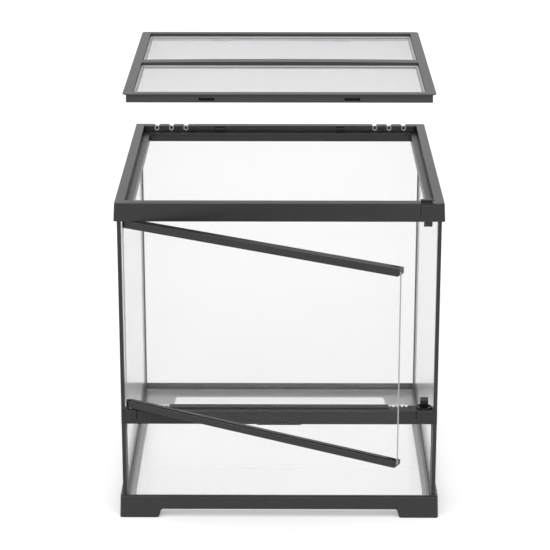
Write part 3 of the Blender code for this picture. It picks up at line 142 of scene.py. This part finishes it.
def length_value(name, description, default):
    return FloatProperty(
        name=name, description=description, unit="LENGTH", min=0.0, default=default, precision=5,
    )


def count_value(name, description, default):
    return FloatProperty(name=name, description=description, min=0.0, default=default)


class MouldedLook:
    """What every moulded piece has besides its colour and gloss"""

    grain_scale: count_value("Grain", "Grain marks per metre", 1800.0)
    grain_depth: length_value("Grain depth", "Height of the spark grain", 0.00001)
    flow_scale: count_value("Flow marks", "Slow changes of tone per metre", 14.0)
    flow_share: share_value("Flow contrast", "How far the flow marks change the tone", 0.06)
    # Reach of the painted shade that darkens slots and inner corners
    cavity_shade_reach: length_value("Cavity reach", "Width up to which slots and corners stay dark", 0.003)
    # Painted highlight: a grey laid along every moulded edge, which on the pale trim makes the edges darker
    edge_highlight_colour: colour_value("Colour of the painted edge highlight", (0.30, 0.30, 0.30))
    edge_highlight_share: share_value("Edge highlight", "How far the edges have turned to the highlight colour", 0.30)


class FramePlasticLook(MouldedLook, bpy.types.PropertyGroup):
    """Dark mouldings of the base, the top frame, the door and the shutters"""

    colour: colour_value("Linear colour of the dark mouldings", (0.013, 0.0133, 0.0138))
    roughness: share_value("Roughness", "How dull the dark mouldings are", 0.34)
    shine: share_value("Shine", "Strength of the reflection, 0.5 for common plastic", 0.5)
    edge_radius: length_value("Edge radius", "Radius that softens each moulded edge", 0.0010)


class LidPlasticLook(MouldedLook, bpy.types.PropertyGroup):
    """Slightly paler moulding of the lid"""

    colour: colour_value("Linear colour of the lid", (0.052, 0.0525, 0.0535))
    roughness: share_value("Roughness", "How dull the lid is", 0.40)
    shine: share_value("Shine", "Strength of the reflection, 0.5 for common plastic", 0.36)
    edge_radius: length_value("Edge radius", "Radius that softens each moulded edge", 0.0003)


class SillPlasticLook(MouldedLook, bpy.types.PropertyGroup):
    """Grained bar under the door"""

    colour: colour_value("Linear colour of the sill", (0.019, 0.0193, 0.0198))
    roughness: share_value("Roughness", "How dull the sill is", 0.50)
    shine: share_value("Shine", "Strength of the reflection, 0.5 for common plastic", 0.38)
    edge_radius: length_value("Edge radius", "Radius that softens each moulded edge", 0.0002)


class BlackPlasticLook(MouldedLook, bpy.types.PropertyGroup):
    """Lower door catch and lid latches"""

    colour: colour_value("Linear colour of the black fittings", (0.006, 0.006, 0.0062))
    roughness: share_value("Roughness", "How dull the black fittings are", 0.22)
    shine: share_value("Shine", "Strength of the reflection, 0.5 for common plastic", 0.25)
    edge_radius: length_value("Edge radius", "Radius that softens each fitting's edges", 0.0003)


class LightPlasticLook(MouldedLook, bpy.types.PropertyGroup):
    """Cable rings and screen beads"""

    colour: colour_value("Linear colour of the light trim", (0.58, 0.59, 0.59))
    roughness: share_value("Roughness", "How dull the light trim is", 0.38)
    shine: share_value("Shine", "Strength of the reflection, 0.5 for common plastic", 0.5)
    edge_radius: length_value("Edge radius", "Radius that softens the trim's edges", 0.0002)


class SealantLook(bpy.types.PropertyGroup):
    """Silicone in the corners of the glass"""

    colour: colour_value("Linear colour of the sealant", (0.17, 0.172, 0.175))
    roughness: share_value("Roughness", "How dull the sealant is", 0.38)
    wave_height: length_value("Wave height", "Height of the waves that a finger leaves", 0.0001)
    wave_scale: count_value("Waves", "Waves per metre along the bead", 60.0)


class GlassLook(bpy.types.PropertyGroup):
    """Panes of float glass with ground edges"""

    colour: colour_value("Tint of the side and back panes", (0.893, 0.894, 0.893))
    door_colour: colour_value("Tint of the door's glass and the front pane", (0.985, 0.986, 0.985))
    floor_colour: colour_value("Tint of the bottom pane", (0.985, 0.986, 0.985))
    edge_colour: colour_value("Colour of the ground edges", (0.50, 0.525, 0.515))
    edge_roughness: share_value("Edge roughness", "How matt the ground edges are", 0.35)
    edge_clearness: share_value("Edge clearness", "Share of light that an edge lets through", 0.15)
    floor_clearness: share_value("Floor clearness", "Share of light that the bottom pane lets through", 0.88)
    index: FloatProperty(
        name="Refraction", description="Refractive index of the glass", min=1.0, max=2.0, default=1.15,
    )
    film: share_value("Film", "How much of a fixed pane its soft-gloss film covers", 1.0)
    film_roughness: share_value("Film roughness", "How soft the film's reflections are", 0.35)
    film_index: FloatProperty(
        name="Film refraction", description="Refractive index of the film", min=1.0, max=2.5, default=1.75,
    )
    shade: colour_value("Share of light that one face of a pane lets through", (0.99, 0.992, 0.991))
    haze_scale: count_value("Haze", "Slow changes of tint per metre", 5.0)


class SteelLook(bpy.types.PropertyGroup):
    """Pins and springs"""

    colour: colour_value("Linear colour of the steel", (0.55, 0.55, 0.56))
    roughness: share_value("Roughness", "How dull the steel is", 0.30)
    mark_scale: count_value("Marks", "Drawing marks per metre", 900.0)


class SpringLook(bpy.types.PropertyGroup):
    """Coil springs of the door catches"""

    wire: length_value("Wire", "Diameter of the spring's wire", 0.0005)
    turns: count_value("Turns", "Number of turns", 4.5)
    turn_steps: IntProperty(name="Steps", description="Steps round one turn", min=8, default=24)
    sides: IntProperty(name="Sides", description="Flat sides round the wire", min=3, default=8)
    pressed_share: share_value("Pressed share", "Height left when the catch is fully pressed", 0.15)


class ScreenLook(bpy.types.PropertyGroup):
    """Woven wire of the lid"""

    colour: colour_value("Linear colour of the wire", (0.42, 0.42, 0.43))
    roughness: share_value("Roughness", "How dull the wire is", 0.35)
    mark_scale: count_value("Marks", "Drawing marks per metre", 700.0)
    pitch: length_value("Mesh", "Distance between neighbouring wires", 0.0014)
    wire: length_value("Wire", "Diameter of one wire", 0.00022)
    sides: IntProperty(name="Sides", description="Flat sides round one wire", min=3, max=12, default=4)


class StudioLook(bpy.types.PropertyGroup):
    """Floor, light and camera"""

    floor_colour: colour_value("Colour of the floor in the object's light", (0.80, 0.80, 0.80))
    floor_shade: share_value("Floor shade", "Share of the seen floor's white that a shadow can take", 0.95)
    glass_shade: share_value("Shade in glass", "The same share where glass or gloss shows the floor", 0.35)
    floor_level: FloatProperty(
        name="Floor level", description="White of the seen floor away from shadows", min=0.5, default=1.2,
    )
    glass_level: FloatProperty(
        name="Level in glass", description="The same white where glass or gloss shows the floor",
        min=0.5, default=1.14,
    )
    surround: FloatProperty(
        name="Surround", description="Strength of the soft light from all sides", min=0.0, default=0.45,
    )
    sky_strength: FloatProperty(
        name="Overhead light", description="Strength of the wide lamp above", min=0.0, default=1.9,
    )
    sky_spread: FloatProperty(
        name="Overhead spread", description="How wide the lamp above looks", subtype="ANGLE",
        default=math.radians(65.0),
    )
    sky_tilt: FloatVectorProperty(
        name="Overhead tilt", description="How far the lamp above is turned from straight down",
        subtype="EULER", size=3, default=(math.radians(35.0), math.radians(-3.0), 0.0),
    )
    camera_place: FloatVectorProperty(
        name="Camera", description="Where the camera stands", subtype="TRANSLATION", unit="LENGTH",
        size=3, default=(0.008846, -2.856449, 1.251241),
    )
    camera_pitch: FloatProperty(
        name="Pitch", description="How far the camera looks down", subtype="ANGLE",
        default=math.radians(17.9715),
    )
    camera_yaw: FloatProperty(
        name="Yaw", description="How far the camera looks to the left", subtype="ANGLE",
        default=math.radians(0.3073),
    )
    lens: FloatProperty(
        name="Focal length", description="Focal length on a 36 mm sensor, in millimetres",
        min=1.0, default=136.66,
    )


class TerrariumSettings(bpy.types.PropertyGroup):
    """All looks of the dressed terrarium"""

    frame_plastic: PointerProperty(type=FramePlasticLook, name="Frame plastic", description="Mouldings")
    lid_plastic: PointerProperty(type=LidPlasticLook, name="Lid plastic", description="Frame of the lid")
    sill_plastic: PointerProperty(type=SillPlasticLook, name="Sill plastic", description="Slotted bar")
    black_plastic: PointerProperty(type=BlackPlasticLook, name="Black plastic", description="Fittings")
    light_plastic: PointerProperty(type=LightPlasticLook, name="Light plastic", description="Light trim")
    sealant: PointerProperty(type=SealantLook, name="Sealant", description="Beads in the glass corners")
    glass: PointerProperty(type=GlassLook, name="Glass", description="The panes")
    steel: PointerProperty(type=SteelLook, name="Steel", description="Pins and springs")
    spring: PointerProperty(type=SpringLook, name="Spring", description="Springs of the door catches")
    screen: PointerProperty(type=ScreenLook, name="Screen", description="Woven wire in the lid")
    studio: PointerProperty(type=StudioLook, name="Studio", description="Floor, light and camera")


class NodeTree:
    """A node tree under construction, with short ways to add and wire its nodes."""

    def __init__(self, tree, output):
        self.nodes = tree.nodes
        self.links = tree.links
        self.nodes.clear()
        self.output = self.add(output)

    def add(self, kind, **settings):
        node = self.nodes.new(kind)
        for key, value in settings.items():
            setattr(node, key, value)
        return node

    def wire(self, source, target):
        self.links.new(source, target)

    def either(self, first, *others):
        """The largest of several values."""
        for other in others:
            larger = self.add("ShaderNodeMath", operation="MAXIMUM")
            self.wire(first, larger.inputs[0])
            self.wire(other, larger.inputs[1])
            first = larger.outputs[0]
        return first

    def rays(self, *kinds):
        """One for light on any of the given kinds of ray."""
        path = self.add("ShaderNodeLightPath")
        return self.either(*(path.outputs[f"Is {kind} Ray"] for kind in kinds))

    def seen_rays(self):
        """One for what the camera sees straight, in gloss or through glass."""
        return self.rays("Camera", "Glossy", "Transmission")

    def mix(self, factor, first, second):
        """A shader between two others."""
        mix = self.add("ShaderNodeMixShader")
        self.wire(factor, mix.inputs["Fac"])
        self.wire(first, mix.inputs[1])
        self.wire(second, mix.inputs[2])
        return mix.outputs["Shader"]

    def show(self, shader):
        """Ends the tree in a shader."""
        self.wire(shader, self.output.inputs["Surface"])


class Finish(NodeTree):
    """The material of one kind of surface, round one Principled shader."""

    def __init__(self, name):
        self.material = bpy.data.materials.get(name) or bpy.data.materials.new(name)
        self.material.use_nodes = True
        super().__init__(self.material.node_tree, "ShaderNodeOutputMaterial")
        self.shader = self.add("ShaderNodeBsdfPrincipled")
        self.show(self.shader.outputs["BSDF"])

    def noise(self, scale, detail, roughness=0.5):
        """Noise per metre of the piece's own space, so its marks keep their real size."""
        place = self.add("ShaderNodeTexCoord")
        noise = self.add("ShaderNodeTexNoise")
        noise.inputs["Scale"].default_value = scale
        noise.inputs["Detail"].default_value = detail
        noise.inputs["Roughness"].default_value = roughness
        self.wire(place.outputs["Object"], noise.inputs["Vector"])
        return noise.outputs["Fac"]

    def spread(self, source, low, high, stretch=NOISE_MIDDLE):
        """Maps a stretch of a value onto a range, by default the middle of a noise."""
        span = self.add("ShaderNodeMapRange")
        span.inputs["From Min"].default_value = stretch[0]
        span.inputs["From Max"].default_value = stretch[1]
        span.inputs["To Min"].default_value = low
        span.inputs["To Max"].default_value = high
        self.wire(source, span.inputs["Value"])
        return span.outputs["Result"]

    def blend(self, factor, first, second):
        """Mixes two colours, each given as numbers or as a socket."""
        mix = self.add("ShaderNodeMix", data_type="RGBA")
        for name, colour in (("A", first), ("B", second)):
            if isinstance(colour, bpy.types.NodeSocket):
                self.wire(colour, mix.inputs[name])
            else:
                mix.inputs[name].default_value = (*colour, 1.0)
        self.wire(factor, mix.inputs["Factor"])
        return mix.outputs["Result"]

    def tones(self, factor, colour, shares):
        """Lets a colour go from a darker share of itself to a lighter one."""
        darker, lighter = (scaled(colour, share) for share in shares)
        return self.blend(factor, darker, lighter)

    def painted_cavity_shade(self, reach):
        """Painted shade: zero deep in slots and inner corners of the piece, one in the open."""
        hollow = self.add("ShaderNodeAmbientOcclusion", samples=PAINTED_SHADE_SAMPLES, only_local=True)
        hollow.inputs["Distance"].default_value = reach
        return self.spread(hollow.outputs["AO"], 0.0, 1.0, PAINTED_SHADE_STRETCH)

    def soft_edges(self, radius):
        """The normal over edges rounded by a radius, and a mask that is one along those edges."""
        bevel = self.add("ShaderNodeBevel", samples=EDGE_SAMPLES)
        bevel.inputs["Radius"].default_value = radius
        surface = self.add("ShaderNodeNewGeometry")
        lean = self.add("ShaderNodeVectorMath", operation="DOT_PRODUCT")
        self.wire(bevel.outputs["Normal"], lean.inputs[0])
        self.wire(surface.outputs["Normal"], lean.inputs[1])
        return bevel.outputs["Normal"], self.spread(lean.outputs["Value"], 1.0, 0.0, SOFT_EDGE_STRETCH)

    def colour(self, source):
        self.wire(source, self.shader.inputs["Base Color"])

    def roughness(self, source):
        self.wire(source, self.shader.inputs["Roughness"])

    def swing(self, source, middle, ends, stretch=NOISE_MIDDLE):
        """Lets the roughness swing about a middle value."""
        self.roughness(self.spread(source, middle + ends[0], middle + ends[1], stretch))

    def bump(self, source, depth, normal=None):
        """Relief from a height, over a given normal if there is one."""
        bump = self.add("ShaderNodeBump")
        bump.inputs["Distance"].default_value = depth
        self.wire(source, bump.inputs["Height"])
        if normal:
            self.wire(normal, bump.inputs["Normal"])
        self.wire(bump.outputs["Normal"], self.shader.inputs["Normal"])


def scaled(colour, factor):
    """A colour times a factor, each channel at most one."""
    return tuple(min(1.0, channel * factor) for channel in colour)


def dress(names, material):
    """Gives CAD nodes a finish."""
    for name in names:
        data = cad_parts[name].data
        data.materials.clear()
        data.materials.append(material)


def moulded_plastic(name, look):
    """Injection-moulded plastic with a fine spark grain, faint flow marks, softened edges with a painted
    highlight and painted shade in slots and inner corners.
    """
    finish = Finish(name)
    flow = finish.noise(look.flow_scale, detail=3.0)
    grain = finish.noise(look.grain_scale, detail=2.0, roughness=0.6)
    marks = finish.spread(flow, 0.0, 1.0, NOISE_MOST)
    tone = finish.tones(marks, look.colour, (1.0 - look.flow_share, 1.0 + look.flow_share))
    normal, edges = finish.soft_edges(look.edge_radius)
    # Painted highlight along the edges
    tone = finish.blend(finish.spread(edges, 0.0, look.edge_highlight_share, WHOLE), tone, tuple(look.edge_highlight_colour))
    # Painted shade: slots and inner corners turn towards a dark share of the colour
    unshaded_share = finish.painted_cavity_shade(look.cavity_shade_reach)
    finish.colour(finish.blend(unshaded_share, scaled(look.colour, CAVITY_SHADE_TONE), tone))
    finish.swing(flow, look.roughness, MOULDED_SWING, NOISE_MOST)
    finish.bump(grain, look.grain_depth, normal)
    # The reflection fades in the same slots and corners, painted shade on the gloss
    gloss = finish.shader.inputs["Specular IOR Level"]
    gloss.default_value = look.shine
    finish.wire(finish.spread(unshaded_share, 0.0, look.shine, WHOLE), gloss)
    return finish.material


def frame_plastic(settings):
    return moulded_plastic("frame_plastic", settings.frame_plastic)


def lid_plastic(settings):
    return moulded_plastic("lid_plastic", settings.lid_plastic)


def sill_plastic(settings):
    return moulded_plastic("sill_plastic", settings.sill_plastic)


def black_plastic(settings):
    return moulded_plastic("black_plastic", settings.black_plastic)


def light_plastic(settings):
    return moulded_plastic("light_plastic", settings.light_plastic)


def sealant(look):
    """Silicone drawn along by a finger: soft gloss with slow waves."""
    finish = Finish("black_silicone")
    waves = finish.noise(look.wave_scale, detail=2.0)
    finish.colour(finish.tones(finish.spread(waves, 0.0, 1.0), look.colour, SEALANT_TONES))
    finish.swing(waves, look.roughness, SEALANT_SWING)
    finish.bump(waves, look.wave_height)
    return finish.material


def drawn_metal(name, look):
    """Drawn wire or rod with fine marks in its tone and gloss."""
    finish = Finish(name)
    marks = finish.noise(look.mark_scale, detail=3.0)
    finish.colour(finish.tones(finish.spread(marks, 0.0, 1.0), look.colour, METAL_TONES))
    finish.swing(marks, look.roughness, METAL_SWING)
    finish.shader.inputs["Metallic"].default_value = 1.0
    return finish.material


def broad_side(name):
    """The direction that the largest face of a pane looks in, in the pane's own space."""
    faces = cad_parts[name].data.polygons
    return max(faces, key=lambda face: face.area).normal.copy()


def pane_glass(name, look, colour, film=0.0, clearness=1.0):
    """Clear glass with ground edges, told apart by how far each face turns from the pane's broad side."""
    finish = Finish(f"{name}_glass")
    place = finish.add("ShaderNodeTexCoord")
    lean = finish.add("ShaderNodeVectorMath", operation="DOT_PRODUCT")
    lean.inputs[1].default_value = broad_side(name)
    finish.wire(place.outputs["Normal"], lean.inputs[0])
    size = finish.add("ShaderNodeMath", operation="ABSOLUTE")
    finish.wire(lean.outputs["Value"], size.inputs[0])
    edge = finish.spread(size.outputs[0], 1.0, 0.0, PANE_EDGE_STRETCH)

    haze = finish.spread(finish.noise(look.haze_scale, detail=1.0), 0.0, 1.0)
    face = finish.tones(haze, colour, PANE_TONES)
    finish.colour(finish.blend(edge, face, tuple(look.edge_colour)))
    finish.roughness(finish.spread(edge, 0.0, look.edge_roughness, WHOLE))
    clear = finish.spread(edge, clearness, look.edge_clearness, WHOLE)
    finish.wire(clear, finish.shader.inputs["Transmission Weight"])
    finish.shader.inputs["IOR"].default_value = look.index
    finish.shader.inputs["Coat Weight"].default_value = film
    finish.shader.inputs["Coat Roughness"].default_value = look.film_roughness
    finish.shader.inputs["Coat IOR"].default_value = look.film_index

    through = finish.add("ShaderNodeBsdfTransparent")
    through.inputs["Color"].default_value = (*look.shade, 1.0)
    unseen = finish.rays("Shadow", "Diffuse")
    finish.show(finish.mix(unseen, finish.shader.outputs["BSDF"], through.outputs["BSDF"]))
    return finish.material


class PieceOperator:
    """What the operators of all pieces share"""

    bl_options = {"REGISTER", "UNDO"}


class TERRARIUM_OT_base_frame(PieceOperator, bpy.types.Operator):
    """Finish the base that carries the glass"""

    bl_idname = "terrarium.base_frame"
    bl_label = "Base frame"

    def execute(self, context):
        dress(("base_frame",), frame_plastic(context.scene.terrarium))
        return {"FINISHED"}


class TERRARIUM_OT_top_frame(PieceOperator, bpy.types.Operator):
    """Finish the frame round the top of the glass"""

    bl_idname = "terrarium.top_frame"
    bl_label = "Top frame"

    def execute(self, context):
        dress(("top_frame",), frame_plastic(context.scene.terrarium))
        return {"FINISHED"}


class TERRARIUM_OT_sill(PieceOperator, bpy.types.Operator):
    """Finish the slotted bar under the door and its strip"""

    bl_idname = "terrarium.sill"
    bl_label = "Sill"

    def execute(self, context):
        dress(SILL, sill_plastic(context.scene.terrarium))
        return {"FINISHED"}


class TERRARIUM_OT_door(PieceOperator, bpy.types.Operator):
    """Finish the door's two rails and its glass"""

    bl_idname = "terrarium.door"
    bl_label = "Door"

    def execute(self, context):
        settings = context.scene.terrarium
        dress(DOOR_RAILS, frame_plastic(settings))
        glass = settings.glass
        dress(("door_glass",), pane_glass("door_glass", glass, glass.door_colour))
        return {"FINISHED"}


class TERRARIUM_OT_panes(PieceOperator, bpy.types.Operator):
    """Finish the fixed panes"""

    bl_idname = "terrarium.panes"
    bl_label = "Panes"

    def execute(self, context):
        glass = context.scene.terrarium.glass
        for name in SIDE_AND_BACK_PANES:
            dress((name,), pane_glass(name, glass, glass.colour, glass.film))
        floor = pane_glass("bottom_pane", glass, glass.floor_colour, glass.film, glass.floor_clearness)
        dress(("bottom_pane",), floor)
        dress(("front_pane",), pane_glass("front_pane", glass, glass.door_colour))
        return {"FINISHED"}


class TERRARIUM_OT_seals(PieceOperator, bpy.types.Operator):
    """Finish the sealant and the corner strips"""

    bl_idname = "terrarium.seals"
    bl_label = "Seals and strips"

    def execute(self, context):
        settings = context.scene.terrarium
        dress(SEALS, sealant(settings.sealant))
        dress(CORNER_STRIPS, frame_plastic(settings))
        return {"FINISHED"}


class TERRARIUM_OT_catches(PieceOperator, bpy.types.Operator):
    """Finish the two sprung door catches"""

    bl_idname = "terrarium.catches"
    bl_label = "Door catches"

    def execute(self, context):
        settings = context.scene.terrarium
        dress(LOWER_CATCH, black_plastic(settings))
        dress(UPPER_CATCH, frame_plastic(settings))
        return {"FINISHED"}


class TERRARIUM_OT_latches(PieceOperator, bpy.types.Operator):
    """Finish the lid latches and the shutters of the cable inlets"""

    bl_idname = "terrarium.latches"
    bl_label = "Latches and shutters"

    def execute(self, context):
        settings = context.scene.terrarium
        dress(LATCHES, black_plastic(settings))
        dress(SHUTTERS, frame_plastic(settings))
        return {"FINISHED"}


class TERRARIUM_OT_cable_rings(PieceOperator, bpy.types.Operator):
    """Finish the light rings of the cable inlets"""

    bl_idname = "terrarium.cable_rings"
    bl_label = "Cable rings"

    def execute(self, context):
        dress(CABLE_RINGS, light_plastic(context.scene.terrarium))
        return {"FINISHED"}


class TERRARIUM_OT_hinge_pins(PieceOperator, bpy.types.Operator):
    """Finish the pins that the door turns on"""

    bl_idname = "terrarium.hinge_pins"
    bl_label = "Hinge pins"

    def execute(self, context):
        dress(HINGE_PINS, drawn_metal("bright_steel", context.scene.terrarium.steel))
        return {"FINISHED"}


def add_tube(shape, rings):
    """Joins rings of corners into a closed tube."""
    for first, second in zip(rings, rings[1:]):
        for i in range(len(first)):
            j = (i + 1) % len(first)
            shape.faces.new((first[i], first[j], second[j], second[i]))
    shape.faces.new(rings[0][::-1])
    shape.faces.new(rings[-1])


def add_object(context, name, shape, material):
    """Brings a finished shape into the scene."""
    mesh = bpy.data.meshes.new(name)
    shape.to_mesh(mesh)
    shape.free()
    mesh.materials.append(material)
    made = bpy.data.objects.new(name, mesh)
    context.scene.collection.objects.link(made)
    return made


def coil_spring(node, look):
    """A round wire wound up between the two ends of a spring's place."""
    low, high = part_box(node)
    radius = look.wire / 2
    outer = (high.x - low.x) / 2
    centre = Vector((low.x + outer, low.y + outer, low.z + radius))
    rise = high.z - low.z - look.wire
    mean = outer - radius
    steps = int(look.turns * look.turn_steps)
    angles = [2 * math.pi * i / look.sides for i in range(look.sides)]
    up = Vector((0.0, 0.0, 1.0))
    shape = bmesh.new()
    rings = []
    for i in range(steps + 1):
        turn = 2 * math.pi * look.turns * i / steps
        outward = Vector((math.cos(turn), math.sin(turn), 0.0))
        middle = centre + outward * mean + up * rise * i / steps
        corners = [outward * math.cos(a) * radius + up * math.sin(a) * radius for a in angles]
        rings.append([shape.verts.new(middle + corner) for corner in corners])
    add_tube(shape, rings)
    bmesh.ops.recalc_face_normals(shape, faces=shape.faces)
    for face in shape.faces:
        face.smooth = len(face.verts) == 4
    return shape


class TERRARIUM_OT_catch_springs(PieceOperator, bpy.types.Operator):
    """Wind the springs of the door catches"""

    bl_idname = "terrarium.catch_springs"
    bl_label = "Catch springs"

    def execute(self, context):
        settings = context.scene.terrarium
        look = settings.spring
        metal = drawn_metal("bright_steel", settings.steel)
        for node, joint, fixed_end in CATCH_SPRINGS:
            coil = add_object(context, f"{node}_coil", coil_spring(node, look), metal)
            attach(coil, "tank")
            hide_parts(node)
            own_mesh(coil)
        return {"FINISHED"}


class TERRARIUM_OT_lid(PieceOperator, bpy.types.Operator):
    """Finish the lid's frame and the beads that hold its screens"""

    bl_idname = "terrarium.lid"
    bl_label = "Lid frame"

    def execute(self, context):
        settings = context.scene.terrarium
        dress(("lid_frame",), lid_plastic(settings))
        dress(SCREEN_BEADS, light_plastic(settings))
        return {"FINISHED"}


def add_wire(shape, start, end, radius, sides):
    """Adds a straight, level wire between two points."""
    along = (end - start).normalized()
    across = Vector((-along.y, along.x, 0.0)) * radius
    up = Vector((0.0, 0.0, radius))
    angles = [2 * math.pi * i / sides for i in range(sides)]
    corners = [across * math.cos(a) + up * math.sin(a) for a in angles]
    add_tube(shape, [[shape.verts.new(centre + corner) for corner in corners] for centre in (start, end)])


def wire_places(low, high, pitch):
    """Even places between two ends."""
    count = int((high - low) / pitch)
    first = (low + high) / 2 - (count - 1) * pitch / 2
    return [first + i * pitch for i in range(count)]


def woven_screen(node, look):
    """Two layers of crossed wires that fill a screen's place."""
    low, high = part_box(node)
    middle = (low.z + high.z) / 2
    radius = look.wire / 2
    warp = middle + radius
    weft = middle - radius
    shape = bmesh.new()
    for x in wire_places(low.x, high.x, look.pitch):
        add_wire(shape, Vector((x, low.y, warp)), Vector((x, high.y, warp)), radius, look.sides)
    for y in wire_places(low.y, high.y, look.pitch):
        add_wire(shape, Vector((low.x, y, weft)), Vector((high.x, y, weft)), radius, look.sides)
    return shape


class TERRARIUM_OT_screens(PieceOperator, bpy.types.Operator):
    """Lay the crossed wires of the two lid screens"""

    bl_idname = "terrarium.screens"
    bl_label = "Lid screens"

    def execute(self, context):
        look = context.scene.terrarium.screen
        metal = drawn_metal("screen_wire", look)
        for node in SCREENS:
            wires = add_object(context, f"{node}_wires", woven_screen(node, look), metal)
            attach(wires, "lid")
            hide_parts(node)
        return {"FINISHED"}


def white_surround(world, strength):
    """Soft light from all sides that reads as plain white to the camera, in glass and in gloss."""
    world.use_nodes = True
    tree = NodeTree(world.node_tree, "ShaderNodeOutputWorld")
    lights = []
    for level in (strength, WHITE_LEVEL):
        light = tree.add("ShaderNodeBackground")
        light.inputs["Color"].default_value = WHITE
        light.inputs["Strength"].default_value = level
        lights.append(light.outputs["Background"])
    tree.show(tree.mix(tree.seen_rays(), *lights))


def floor_paint(look):
    """Pale paint that keeps the tank's shadow and meets the white surround without a line."""
    finish = Finish("studio_floor")
    finish.shader.inputs["Base Color"].default_value = (*look.floor_colour, 1.0)
    finish.shader.inputs["Roughness"].default_value = FLOOR_ROUGHNESS
    finish.shader.inputs["Specular IOR Level"].default_value = FLOOR_SHINE
    whites = []
    for shade, level in ((look.glass_shade, look.glass_level), (look.floor_shade, look.floor_level)):
        dull = finish.add("ShaderNodeBsdfDiffuse")
        dull.inputs["Color"].default_value = (shade, shade, shade, 1.0)
        glow = finish.add("ShaderNodeEmission")
        glow.inputs["Strength"].default_value = level - shade
        add = finish.add("ShaderNodeAddShader")
        finish.wire(dull.outputs["BSDF"], add.inputs[0])
        finish.wire(glow.outputs["Emission"], add.inputs[1])
        whites.append(add.outputs["Shader"])
    white = finish.mix(finish.rays("Camera"), *whites)
    finish.show(finish.mix(finish.seen_rays(), finish.shader.outputs["BSDF"], white))
    return finish.material


def add_floor(context, look):
    """A level floor just under the feet."""
    shape = bmesh.new()
    sides = ((-1, -1), (1, -1), (1, 1), (-1, 1))
    shape.faces.new([shape.verts.new((x * FLOOR_REACH, y * FLOOR_REACH, -FLOOR_DROP)) for x, y in sides])
    add_object(context, "studio_floor", shape, floor_paint(look))


def add_sky_lamp(context, look):
    """A wide soft light from above."""
    data = bpy.data.lights.new("overhead_light", "SUN")
    data.energy = look.sky_strength
    data.angle = look.sky_spread
    lamp = bpy.data.objects.new("overhead_light", data)
    lamp.rotation_euler = look.sky_tilt
    context.scene.collection.objects.link(lamp)


def add_camera(context, look):
    """The place and the lens of the photograph, without its shift."""
    data = bpy.data.cameras.new("photo_camera")
    data.lens = look.lens
    data.sensor_width = SENSOR_WIDTH
    data.clip_start = NEAREST_SEEN
    data.clip_end = FARTHEST_SEEN
    camera = bpy.data.objects.new("photo_camera", data)
    camera.location = look.camera_place
    camera.rotation_euler = (math.pi / 2 - look.camera_pitch, 0.0, look.camera_yaw)
    context.scene.collection.objects.link(camera)
    context.scene.camera = camera


class TERRARIUM_OT_studio(PieceOperator, bpy.types.Operator):
    """Set the floor, the light and the camera"""

    bl_idname = "terrarium.studio"
    bl_label = "Studio"

    def execute(self, context):
        look = context.scene.terrarium.studio
        add_floor(context, look)
        context.scene.world = bpy.data.worlds.new("studio_surround")
        white_surround(context.scene.world, look.surround)
        add_sky_lamp(context, look)
        add_camera(context, look)
        context.scene.view_settings.view_transform = "Standard"
        return {"FINISHED"}


PIECES = (
    TERRARIUM_OT_base_frame,
    TERRARIUM_OT_top_frame,
    TERRARIUM_OT_sill,
    TERRARIUM_OT_door,
    TERRARIUM_OT_panes,
    TERRARIUM_OT_seals,
    TERRARIUM_OT_catches,
    TERRARIUM_OT_latches,
    TERRARIUM_OT_cable_rings,
    TERRARIUM_OT_hinge_pins,
    TERRARIUM_OT_catch_springs,
    TERRARIUM_OT_lid,
    TERRARIUM_OT_screens,
    TERRARIUM_OT_studio,
)


class TERRARIUM_PT_pieces(bpy.types.Panel):
    """Lists the pieces of the terrarium"""

    bl_idname = "TERRARIUM_PT_pieces"
    bl_label = "Glass terrarium"
    bl_space_type = "VIEW_3D"
    bl_region_type = "UI"
    bl_category = "Terrarium"

    def draw(self, context):
        for piece in PIECES:
            self.layout.operator(piece.bl_idname)


LOOKS = (
    FramePlasticLook,
    LidPlasticLook,
    SillPlasticLook,
    BlackPlasticLook,
    LightPlasticLook,
    SealantLook,
    GlassLook,
    SteelLook,
    SpringLook,
    ScreenLook,
    StudioLook,
    TerrariumSettings,
)


def register():
    for look in LOOKS:
        bpy.utils.register_class(look)
    bpy.types.Scene.terrarium = PointerProperty(type=TerrariumSettings)
    for piece in (*PIECES, TERRARIUM_PT_pieces):
        bpy.utils.register_class(piece)


def unregister():
    for piece in reversed((*PIECES, TERRARIUM_PT_pieces)):
        bpy.utils.unregister_class(piece)
    del bpy.types.Scene.terrarium
    for look in reversed(LOOKS):
        bpy.utils.unregister_class(look)


def main():
    register()
    for piece in PIECES:
        group, name = piece.bl_idname.split(".")
        getattr(getattr(bpy.ops, group), name)()


if __name__ == "__main__":
    main()
